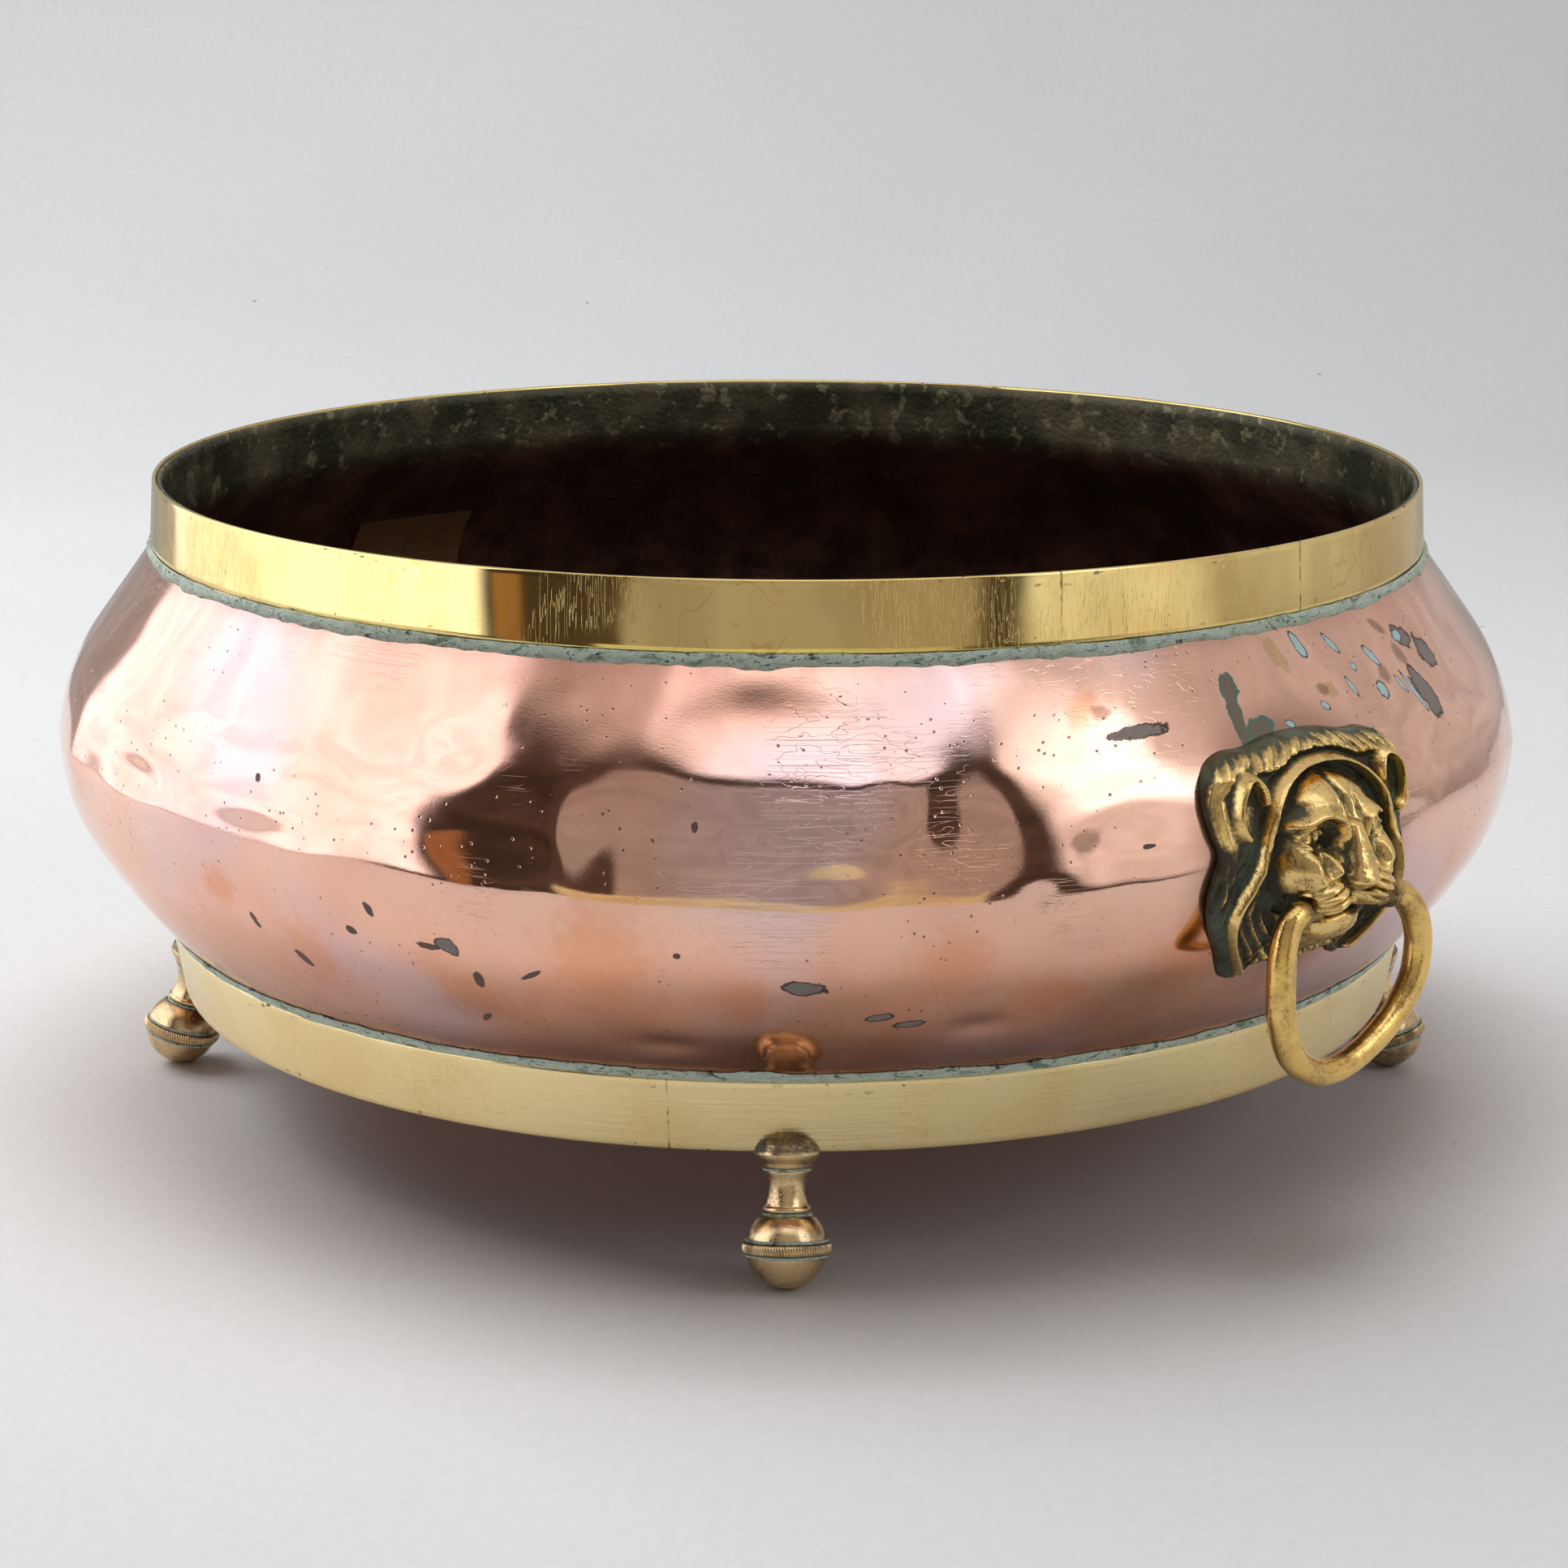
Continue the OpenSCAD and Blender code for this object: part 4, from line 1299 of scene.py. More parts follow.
    def milled_ring(self, height: float, radius: float) -> bpy.types.Object:
        """Ring with slanted ribs: its radius swells by a cosine of the angle and the height."""
        across = np.linspace(-1.0, 1.0, 13)
        ribs = 96
        columns = ribs * 8
        body = radius - 1.3 + 1.3 * np.sqrt(np.clip(1 - np.abs(across) ** 3.2, 0, 1))
        outline = np.stack([body, self.ball_mid + across * height / 2], axis=1)
        inner = self.ball_r - 2.0
        outline = np.vstack([[inner, outline[0, 1]], outline, [inner, outline[-1, 1]]])
        flat = lathe(outline, columns)
        turn = np.arctan2(flat[..., 1], flat[..., 0])
        level = (flat[..., 2] - self.ball_mid) / height
        rib = np.cos(ribs * turn + 5.0 * level)
        worn = smooth_step(cast_noise(flat[..., 0], flat[..., 1], flat[..., 2], 9.0, 31), -0.9, 0.3)
        swell = 0.17 * rib * worn * (1 - (2 * level) ** 4).clip(0, 1)
        swell[[0, -1]] = 0.0
        size = np.hypot(flat[..., 0], flat[..., 1])
        flat[..., :2] *= ((size + swell) / size)[..., None]
        grid = SheetGrid(self.placed(flat), wrap_rows=True, flip=True)
        piece = grid_piece(f"foot_{self.which.value}_milled_ring_ribbed", grid)
        self.patina(piece, 0.30 * (rib < -0.1) * worn + 0.5 * smooth_step(np.abs(level), 0.36, 0.5), flat)
        return piece

    def crust(self, part: str, distance: float, radius: float, fat: float) -> bpy.types.Object:
        """Thin collar of verdigris in the groove between two turned pieces."""
        angle = np.linspace(0.0, TAU, 8, endpoint=False)
        outline = np.stack([radius + fat * np.cos(angle), distance + 0.42 * np.sin(angle)], axis=1)
        flat = lathe(outline, 240)
        lump = cast_noise(flat[..., 0], flat[..., 1], flat[..., 2], 1.3, 17)
        size = np.hypot(flat[..., 0], flat[..., 1])
        flat[..., :2] *= ((size + 0.22 * lump) / size)[..., None]
        grid = SheetGrid(self.placed(flat), wrap_rows=True, flip=True)
        return grid_piece(f"foot_{self.which.value}_{part}", grid)


@dataclass
class LionMask:
    """Cast lion mask, worked out as a height over the copper.

    u runs sideways and w upwards from the mask's middle, in millimetres. The relief is
    a stack of domes, ridges and grooves over the belly's curve, the same on both sides
    of u = 0. The outline is a smooth closed curve.

    Attributes:
        side: Which handle it belongs to.
        outline: The pot's outline.
        middle_z: Height of the mask's middle.
        pivot_x: Distance of the ring's pivot from the pot's axis.
        pivot_w: Height of the pivot from the mask's middle.
        muzzle: Half width of the muzzle between the ring's ends.
        ring_rod: Radius of the ring's rod.
    """

    side: Side
    outline: PotOutline
    middle_z: float
    pivot_x: float
    pivot_w: float
    muzzle: float
    ring_rod: float
    rings: int = 200
    spokes: int = 420

    EDGE = (
        (0.0, 31.0), (9.0, 30.6), (18.0, 29.0), (25.5, 28.6), (31.5, 25.5), (34.4, 18.5),
        (33.6, 10.5), (31.6, 4.5), (33.4, -1.5), (34.2, -8.0), (32.0, -15.0), (27.0, -22.5),
        (22.0, -29.4), (18.6, -30.8), (14.5, -27.6), (7.5, -27.8), (0.0, -29.2),
    )
    HOOD = (
        (0.0, 25.6), (7.6, 24.6), (14.4, 21.2), (19.2, 16.0), (21.8, 9.6), (24.0, 3.0),
        (27.6, -4.5), (29.6, -12.0), (26.6, -20.0), (20.0, -28.4),
    )

    def edge_radius(self, angle: Array) -> Array:
        """Distance of the outline from the middle, at an angle from the upward direction."""
        right = np.array(self.EDGE)
        left = right[1:-1][::-1] * [-1, 1]
        curve = spline([tuple(p) for p in np.vstack([right, left])], 900, closed=True)
        around = np.unwrap(np.arctan2(curve[:, 0], curve[:, 1]))
        reach = np.hypot(curve[:, 0], curve[:, 1])
        order = np.argsort(around % TAU)
        return np.interp(angle % TAU, (around % TAU)[order], reach[order], period=TAU)

    @staticmethod
    def dome(u: Array, w: Array, at: tuple[float, float], size: tuple[float, float], height: float) -> Array:
        """Half ellipsoid: height times the root of 1 - (du / ru)^2 - (dw / rw)^2, and -40 outside."""
        q = 1 - ((u - at[0]) / size[0]) ** 2 - ((w - at[1]) / size[1]) ** 2
        return np.where(q > 0, height * np.sqrt(np.clip(q, 0, None)), -40.0)

    @staticmethod
    def swell(u: Array, w: Array, at: tuple[float, float], size: tuple[float, float]) -> Array:
        """Soft bump of height 1: exp(-(du / ru)^2 - (dw / rw)^2)."""
        return np.exp(-(((u - at[0]) / size[0]) ** 2) - ((w - at[1]) / size[1]) ** 2)

    @staticmethod
    def ridge(u: Array, w: Array, points: Sequence[tuple[float, float]], width: float) -> tuple[Array, Array]:
        """Soft ridge of height 1 along a curve: exp(-(distance / width)^2), and the distance."""
        curve = spline(points, 10 * len(points))
        nearest = np.full(u.shape, 1e9)
        for start, end in zip(curve[:-1], curve[1:]):
            run = end - start
            t = np.clip(((u - start[0]) * run[0] + (w - start[1]) * run[1]) / (run @ run + 1e-12), 0, 1)
            gap = np.hypot(u - start[0] - t * run[0], w - start[1] - t * run[1])
            nearest = np.minimum(nearest, gap)
        return np.exp(-((nearest / width) ** 2)), nearest

    def relief(self, u_signed: Array, w: Array, share: Array) -> Array:
        """Height of the casting above the copper.

        Args:
            u_signed: Sideways places.
            w: Upward places.
            share: How far out each point is, from 0 in the middle to 1 at the outline.

        Returns:
            Heights in millimetres.
        """
        u = np.abs(u_signed)
        _, hood_gap = self.ridge(u, w, self.HOOD, 1.0)
        height = self.mane(u, w, share, hood_gap)
        height = soft_max(height, self.face(u, w), 0.9)
        crest = 6.6 + 3.6 * smooth_step(w, -24.0, 12.0)
        rim = (crest - 2.2) * np.exp(-((hood_gap / 1.7) ** 4)) + 2.2 * np.exp(-((hood_gap / 0.8) ** 2))
        height = soft_max(height, rim, 0.5)
        height = soft_max(height, self.ear(u, w), 0.6)
        # ring's ends: the cheeks are cut back beside the muzzle
        above = np.maximum(np.abs(w - self.pivot_w) - 2.0, 0.0)
        within = np.maximum(self.muzzle + 0.25 - u, 0.0)
        end = np.hypot(above, within * 2.2)
        room = smooth_step(end, 2.6, 1.2) * smooth_step(u, 24.5, 21.5)
        height = np.where(room > 0, height * (1 - room) + np.minimum(height, 6.2) * room, height)
        # the raised ring leans over the mask: nothing under its rod stands in its way
        raised = [(abs(across), self.pivot_w - down) for across, down in RingHandle.BEND]
        _, rod_gap = self.ridge(u, w, raised, 1.0)
        under_rod = np.sqrt(np.clip((self.ring_rod + 0.35) ** 2 - rod_gap**2, 0, None))
        base = np.sqrt(self.outline.radius_at(self.middle_z + w) ** 2 - u**2)
        room_left = self.pivot_x - 0.053 * np.maximum(w - self.pivot_w, 0.0) - 0.25 - under_rod - base
        beside = (rod_gap < self.ring_rod + 0.35) & (w > self.pivot_w - 4.0)
        height = np.where(beside, np.minimum(height, room_left), height)
        return np.maximum(height, 1.4)

    @staticmethod
    def mane(u: Array, w: Array, share: Array, hood_gap: Array) -> Array:
        """Plate behind the face: combed tufts over the crown, long folds beside the face.

        Args:
            u: Sideways places, all positive.
            w: Upward places.
            share: How far out each point is.
            hood_gap: Distance from the hood's ridge.

        Returns:
            Heights in millimetres.
        """
        height = 3.4 + 1.4 * smooth_step(w, -30.0, 20.0) - 1.2 * smooth_step(share, 0.93, 1.0)
        comb = np.sin(1.5 * u + 1.3 * w + 1.2 * np.sin(0.6 * u - 0.4 * w)) + 0.6 * np.sin(3.4 * u + 2.6 * w)
        crown = smooth_step(w, 18.0, 24.5) * smooth_step(hood_gap, 1.0, 3.0) * smooth_step(share, 0.78, 0.88)
        height = height + crown * (3.8 * np.sqrt(np.clip(1 - share**8, 0, 1)) + 0.5 * comb)
        # long folds of the drape, running down beside the face and outside the hood
        down = smooth_step(w, 6.0, -4.0)
        inner = np.sin(hood_gap * 2.1 + 0.18 * w) * down * smooth_step(hood_gap, 1.0, 2.6)
        sunk = smooth_step(hood_gap, 0.8, 3.5) * smooth_step(share, 0.96, 0.85)
        height = height + 0.55 * inner - 1.6 * down * sunk
        return height + 0.5 * np.sin(3.2 * u + 0.4 * w) * down * smooth_step(share, 0.86, 0.93)

    def face(self, u: Array, w: Array) -> Array:
        """The lion's face: a rounded block, carved by swellings and grooves.

        Args:
            u: Sideways places, all positive.
            w: Upward places.

        Returns:
            Heights in millimetres, far below zero outside the face.
        """
        swell, ridge, dome = self.swell, self.ridge, self.dome
        wide = 19.6 - 2.2 * smooth_step(w, -2.0, -16.0) - 3.0 * smooth_step(w, 12.0, 26.0)
        q = np.hypot(u / wide, (w - 0.5) / np.where(w > 0.5, 23.4, 26.0))
        height = 15.2 * np.clip(1 - q**3.0, 0, None) ** 0.55 - 30.0 * smooth_step(q, 0.98, 1.15)
        # forehead: two lobes parted by a furrow
        height = height + 2.7 * swell(u, w, (6.4, 18.2), (5.2, 4.6))
        height = height - 2.0 * swell(u, w, (0, 18.5), (1.1, 6.0))
        height = height - 0.8 * swell(u, w, (2.9, 14.5), (0.6, 4.5))
        # brow: a rolled edge that hooks down beside the nose
        hook = ((5.0, 6.6), (3.7, 9.0), (4.6, 12.4), (8.6, 14.2), (12.6, 12.2), (17.4, 11.4))
        brow, _ = ridge(u, w, hook, 1.35)
        height = height + 3.6 * brow - 1.3 * swell(u, w, (12.4, 15.2), (3.2, 1.3))
        # deep eye with its ball and lids
        height = height - 6.2 * swell(u, w, (8.8, 7.9), (4.3, 3.0))
        height = height - 3.8 * swell(u, w, (5.6, 6.4), (1.7, 2.4))
        height = soft_max(height, dome(u, w, (10.6, 8.4), (3.5, 2.4), 2.2) + 8.6, 0.3)
        upper, _ = ridge(u, w, ((6.8, 8.4), (10.2, 10.9), (15.2, 8.6)), 0.55)
        lower, _ = ridge(u, w, ((7.4, 6.4), (10.6, 5.9), (14.4, 7.4)), 0.5)
        height = height + 1.5 * upper + 0.9 * lower - 0.8 * swell(u, w, (10.2, 8.4), (0.8, 0.8))
        # cheek: a broad lozenge, and the fold that runs from it to the lip
        height = height + 3.8 * swell(u, w, (14.2, 1.0), (4.0, 5.4))
        height = height - 2.6 * swell(u, w, (9.8, 2.2), (1.8, 3.6))
        fold, _ = ridge(u, w, ((14.6, -4.6), (10.8, -2.2), (6.6, 0.2)), 1.7)
        height = height + 1.8 * fold - 3.6 * swell(u, w, (16.4, -8.6), (4.6, 3.2))
        # whisker pad with four fat slanted rolls
        pad = dome(u, w, (7.8, -6.4), (7.4, 5.4), 6.6) + 12.2
        rolls = np.abs(np.cos((w + 0.42 * u) * 1.22 - 0.6)) ** 0.6 - 0.6
        height = soft_max(height, pad + 2.2 * rolls * swell(u, w, (8.6, -6.2), (5.0, 5.0)), 0.35)
        # nose: a narrow bridge that widens to a blunt tip
        along = np.clip((14.0 - w) / 16.0, 0, 1)
        half = 2.0 + 2.6 * along**1.8
        bridge = 15.9 + 5.2 * along - 40.0 * smooth_step(w, 11.0, 19.0) - 40.0 * smooth_step(w, -2.6, -7.5)
        height = soft_max(height, bridge - 0.11 * u**2 - 1.1 * np.clip(u - half + 1.1, 0, None) ** 2, 0.6)
        height = soft_max(height, dome(u, w, (0, -2.0), (5.3, 3.5), 6.6) + 14.6, 0.7)
        height = height - 3.6 * swell(u, w, (3.3, -5.1), (1.4, 0.9))
        height = height - 1.6 * swell(u, w, (0.0, -7.6), (0.7, 2.2))
        # mouth, lower lip and beard
        mouth, _ = ridge(u, w, ((0.0, -11.0), (5.0, -12.2), (10.0, -12.6), (15.0, -10.8)), 1.0)
        height = soft_max(height, dome(u, w, (0, -16.2), (9.0, 4.2), 4.4) + 9.4, 0.8) - 4.6 * mouth
        strands = np.sin(u * 2.1 + 0.9) * smooth_step(w, -17.5, -21.0) * smooth_step(u, 15.0, 8.0)
        return height + 0.6 * strands

    @staticmethod
    def ear(u: Array, w: Array) -> Array:
        """Ear: a rolled rim round a hollow cup, open towards the cheek.

        Args:
            u: Sideways places, all positive.
            w: Upward places.

        Returns:
            Heights in millimetres, low outside the ear.
        """
        turn = 0.16
        ear_u = (u - 25.4) * math.cos(turn) + (w - 16.6) * math.sin(turn)
        ear_w = (w - 16.6) * math.cos(turn) - (u - 25.4) * math.sin(turn)
        ring = np.hypot(ear_u / 4.2, ear_w / 7.4)
        tall = 8.0 + 2.2 * smooth_step(ear_w, -4.0, 7.0) + 0.8 * smooth_step(ear_u, -2.0, 3.5)
        rolled = tall * np.exp(-(((ring - 1.0) / 0.34) ** 2))
        gap = smooth_step(ear_u, 1.2, -1.8) * smooth_step(ear_w, 2.0, -1.5)
        cup = 3.2 + 0.5 * np.sin(2.2 * w) * smooth_step(ring, 0.8, 0.3)
        rolled = rolled * (1 - 0.6 * gap)
        return np.where(ring < 1.0, np.maximum(rolled, cup), rolled)

    def build(self, finish: bpy.types.Material) -> bpy.types.Object:
        """Builds the mask as a closed casting, with its patina stored at its vertices."""
        angle = np.arange(self.spokes) * TAU / self.spokes
        share = (np.arange(1, self.rings + 1) / self.rings)[:, None] ** 0.92
        reach = self.edge_radius(angle)[None, :] * share
        u, w = reach * np.sin(angle), reach * np.cos(angle)
        shape = self.relief(u, w, np.broadcast_to(share, u.shape))
        rough = cast_noise(u + 50, w + 50, shape, 2.2, 41) * 0.16 + cast_noise(u, w, shape, 0.9, 42) * 0.09
        shape = shape + rough
        belly = self.outline.radius_at(self.middle_z + w)
        base = np.sqrt(belly**2 - u**2)
        front = np.stack([base + shape, u, self.middle_z + w], axis=-1)
        wall = front[-1:].copy()
        wall[..., 0] = base[-1:] + 0.06
        back_share = np.array([0.75, 0.5, 0.25, 0.03])[:, None]
        back_u, back_w = u[-1:] * back_share, w[-1:] * back_share
        back_x = np.sqrt(self.outline.radius_at(self.middle_z + back_w) ** 2 - back_u**2) + 0.06
        back = np.stack([back_x, back_u, self.middle_z + back_w], axis=-1)
        points = np.concatenate([front, wall, back], axis=0)
        grid = SheetGrid(turned(points, self.side.turn), flip=True)
        piece = grid_piece(f"lion_mask_{self.side.word}_cast", grid, cap_ends=True)
        behind = np.ones((1 + len(back_share), self.spokes))
        store_attribute(piece, "patina", np.concatenate([self.patina(shape, u, w), behind]))
        piece.data.materials.append(finish)
        return piece

    def patina(self, shape: Array, u: Array, w: Array) -> Array:
        """Dark share: how far each point lies under its surroundings, and how steep it is.

        The surroundings are the heights averaged over and over along the rings and spokes.
        """
        blurred = shape.copy()
        for _ in range(60):
            blurred = (blurred + np.roll(blurred, 1, 1) + np.roll(blurred, -1, 1)) / 3
            padded = np.vstack([blurred[:1], blurred, blurred[-1:]])
            blurred = (padded[:-2] + padded[1:-1] + padded[2:]) / 3
        hollow = blurred - shape
        slope_w = np.abs(np.gradient(shape, axis=0)) / 0.17
        slope_u = np.abs(np.gradient(shape, axis=1)) / np.maximum(np.hypot(u, w) * TAU / self.spokes, 0.08)
        steep = np.hypot(slope_w, slope_u)
        low = smooth_step(shape, 9.0, 5.2) * smooth_step(np.abs(u), 31.5, 27.0)
        drape = smooth_step(w, 12.0, -4.0) * smooth_step(np.abs(u), 15.0, 19.0) * smooth_step(shape, 5.4, 4.4)
        hood = np.array(self.HOOD)[::-1]
        past_hood = np.abs(u) - np.interp(w, hood[:, 1], hood[:, 0])
        outer = smooth_step(past_hood, 1.2, 2.4) * smooth_step(w, 9.0, 5.0)
        eye = self.swell(np.abs(u), w, (7.8, 7.2), (3.6, 2.6))
        jaw = self.swell(np.abs(u), w, (16.8, -9.5), (4.0, 4.0))
        share = 0.12 + 0.45 * hollow + 0.07 * np.minimum(steep, 4.0) + 0.34 * low + 0.22 * drape
        return np.clip(share + 0.5 * outer + 0.40 * (eye + jaw), 0, 1)


@dataclass
class RingHandle:
    """Cast rod bent to a stirrup, worn and not quite even, on two pins.

    The path lies in the plane of the pivot, as (sideways, up) places from the pivot.

    Attributes:
        side: Which handle it is.
        pivot: Its pivot, as distance from the axis and height.
        rod: Radius of the rod.
        pin: Radius of the pins.
        end: Half width between the rod's ends.
        pin_length: Length of each pin.
    """

    side: Side
    pivot: tuple[float, float]
    rod: float
    pin: float
    end: float
    pin_length: float

    BEND = (
        (18.2, 0.0), (22.4, -2.4), (26.4, -8.0), (28.0, -15.5), (26.4, -24.0), (20.6, -32.0),
        (11.5, -38.6), (1.5, -42.6), (-8.5, -42.6), (-17.2, -37.0), (-21.6, -27.5),
        (-22.6, -17.0), (-22.4, -8.5), (-20.6, -2.6), (-17.6, 0.0),
    )

    def build(self, finish: bpy.types.Material) -> bpy.types.Object:
        """Builds the ring: a circle carried along the bend, thinner at its pins."""
        start = np.array([[self.end - self.pin_length, 0.0], [self.end - 0.1, 0.0], [self.end + 0.9, 0.0]])
        curve = spline([(self.end + 1.0, 0.0), *self.BEND, (-self.end - 1.0, 0.0)], 400)
        flat = even_spacing(np.vstack([start, curve[1:-1], start[::-1] * [-1, 1]]), 420)
        path = np.stack([np.full(len(flat), self.pivot[0]), flat[:, 0], self.pivot[1] + flat[:, 1]], axis=1)
        along = np.concatenate([[0.0], np.cumsum(np.linalg.norm(np.diff(flat, axis=0), axis=1))])
        from_end = np.minimum(along, along[-1] - along)
        step = smooth_step(from_end, self.pin_length - 0.35, self.pin_length + 0.5)
        radius = self.pin + (self.rod - self.pin) * step
        radius = radius * (1 + 0.035 * np.sin(along / 13.0) - 0.05 * np.exp(-(((from_end - 9.0) / 5.0) ** 2)))
        radius = np.minimum(radius, self.rod * 1.03)
        points = tube(path, radius, 72)
        middle = path[:, None]
        lump = cast_noise(points[..., 0], points[..., 1], points[..., 2], 5.0, 51) * 0.10
        lump = lump + cast_noise(points[..., 0], points[..., 1], points[..., 2], 1.6, 52) * 0.04
        filed = smooth_step(from_end, 14.0, 9.0) * smooth_step(from_end, 4.8, 6.0)
        file_marks = 0.05 * np.sin(along * 7.0) * filed
        lump = lump * step[:, None] + file_marks[:, None]
        away = points - middle
        points = middle + away * (1 + lump / radius[:, None])[..., None]
        grid = SheetGrid(turned(points, self.side.turn))
        piece = grid_piece(f"ring_handle_{self.side.word}_rod", grid, cap_ends=True)
        inner = (away[..., 1] * -path[:, None, 1] + away[..., 2] * (self.pivot[1] - 22.0 - path[:, None, 2]))
        inner = inner / (radius[:, None] * np.hypot(path[:, 1], self.pivot[1] - 22.0 - path[:, 2])[:, None])
        back = -away[..., 0] / radius[:, None]
        worn = cast_noise(points[..., 0], points[..., 1], points[..., 2], 8.0, 53)
        dark = 0.10 + 0.16 * smooth_step(inner, 0.3, 1.0) + 0.14 * smooth_step(back, 0.2, 1.0) + 0.13 * worn
        dark = dark + 0.45 * smooth_step(from_end, 9.0, 5.0)[:, None]
        store_attribute(piece, "patina", np.clip(dark, 0, 1))
        piece.data.materials.append(finish)
        return piece


# --------------------------------------------------------------------------------------
# Stage: floor, soft lights and camera
# --------------------------------------------------------------------------------------


@dataclass(frozen=True)
class SoftBox:
    """A rectangular light that only reaches dull surfaces, so that it makes no glint.

    Attributes:
        name: Its name.
        bearing: Direction from the pot, in degrees to the right of the camera.
        distance: Distance from the pot's axis, in metres.
        height: Height of its middle.
        size: Its width and height.
        power: Its power, in watts.
        aim: Distance of the point it faces behind the pot's axis.
    """

    name: str
    bearing: float
    distance: float
    height: float
    size: tuple[float, float]
    power: float
    aim: float = 0.0


@dataclass(frozen=True)
class TentPanel:
    """A panel of the light tent, as a soft-edged patch of bearings and elevations.

    Attributes:
        bearing: First and last bearing, in degrees to the right of the camera.
        rise: First and last elevation, in degrees.
        glow: Colour and strength of its light.
        soft: Width of its soft edge, in degrees.
    """

    bearing: tuple[float, float]
    rise: tuple[float, float]
    glow: Colour
    soft: float = 4.0


@dataclass
class Studio:
    """Pale paper sweep, light tent, soft lights and the camera.

    Attributes:
        camera_turn: Direction of the camera round the pot, in degrees from +X.
        distance: Its distance from the pot's axis, in metres.
        height: Its height.
        aim_height: Height of the point it looks at on the axis.
        lens: Focal length for a 36 mm sensor.
        roll: Turn about the line of sight, in degrees.
        table_edge: Distance of the paper's front edge from the pot's axis.
    """

    camera_turn: float = -39.2
    distance: float = 1.0615
    height: float = 0.3491
    aim_height: float = 0.0866
    lens: float = 84.65
    roll: float = 0.25
    table_edge: float = 0.48

    BOXES = (
        SoftBox("key_box", -120.0, 1.5, 1.25, (1.3, 1.0), 20.0),
        SoftBox("top_box", 0.0, 0.1, 1.7, (1.0, 1.0), 13.0),
        SoftBox("right_box", 70.0, 1.6, 0.9, (0.8, 0.8), 3.2),
        SoftBox("paper_box", 180.0, 0.6, 2.0, (2.0, 0.8), 9.0, 1.5),
    )
    ROOM: Colour = (0.085, 0.060, 0.046)
    PANELS = (
        TentPanel((-180.0, -124.0), (-30.0, 60.0), (0.42, 0.41, 0.40), 14.0),
        TentPanel((134.0, 180.0), (-30.0, 60.0), (0.42, 0.41, 0.40), 14.0),
        TentPanel((-128.0, -48.0), (-3.2, 60.0), (1.70, 1.68, 1.78), 3.0),
        TentPanel((37.0, 72.0), (-4.0, 60.0), (0.88, 0.85, 0.83), 4.0),
        TentPanel((68.0, 140.0), (-4.0, 60.0), (0.60, 0.57, 0.55), 16.0),
        TentPanel((-46.0, -41.5), (-8.0, 9.0), (0.33, 0.17, 0.07), 0.8),
        TentPanel((-24.5, 29.5), (-4.0, 45.0), (0.40, 0.36, 0.33), 1.6),
        TentPanel((-29.0, 26.5), (-30.0, -2.6), (0.66, 0.63, 0.38), 1.6),
        TentPanel((-180.0, 180.0), (49.0, 100.0), (0.72, 0.68, 0.65), 2.5),
        TentPanel((-22.0, 44.0), (49.5, 74.0), (1.45, 1.45, 1.5), 4.0),
        TentPanel((40.0, 60.0), (20.0, 46.0), (2.2, 2.2, 2.3), 7.0),
    )

    def direction(self, bearing: float) -> Vector:
        """Unit vector from the axis, at a bearing to the right of the camera."""
        angle = math.radians(self.camera_turn + bearing)
        return Vector((math.cos(angle), math.sin(angle), 0.0))

    def place_camera(self) -> None:
        """Makes the camera and aims it."""
        data = bpy.data.cameras.new("camera")
        data.lens = self.lens
        data.sensor_width = 36.0
        camera = bpy.data.objects.new("camera", data)
        bpy.context.scene.collection.objects.link(camera)
        away = self.direction(0.0)
        right = Vector((-away.y, away.x, 0.0))
        camera.location = away * self.distance + Vector((0, 0, self.height)) - right * 0.0006
        aim = Vector((0, 0, self.aim_height)) - right * 0.0006 - camera.location
        quaternion = aim.to_track_quat("-Z", "Y")
        camera.rotation_euler = quaternion.to_euler()
        camera.rotation_euler.rotate_axis("Z", math.radians(self.roll))
        bpy.context.scene.camera = camera

    def place_lights(self) -> None:
        """Makes the soft boxes and the room's faint light."""
        for box in self.BOXES:
            data = bpy.data.lights.new(box.name, "AREA")
            data.shape = "RECTANGLE"
            data.size, data.size_y = box.size
            data.energy = box.power
            light = bpy.data.objects.new(box.name, data)
            bpy.context.scene.collection.objects.link(light)
            light.location = self.direction(box.bearing) * box.distance + Vector((0, 0, box.height))
            aim = self.direction(180.0) * box.aim - light.location
            light.rotation_euler = aim.to_track_quat("-Z", "Y").to_euler()
            light.visible_glossy = False
        world = bpy.data.worlds.new("room")
        world.use_nodes = True
        world.node_tree.nodes["Background"].inputs[0].default_value = (0.80, 0.80, 0.82, 1.0)
        world.node_tree.nodes["Background"].inputs[1].default_value = 0.22
        bpy.context.scene.world = world

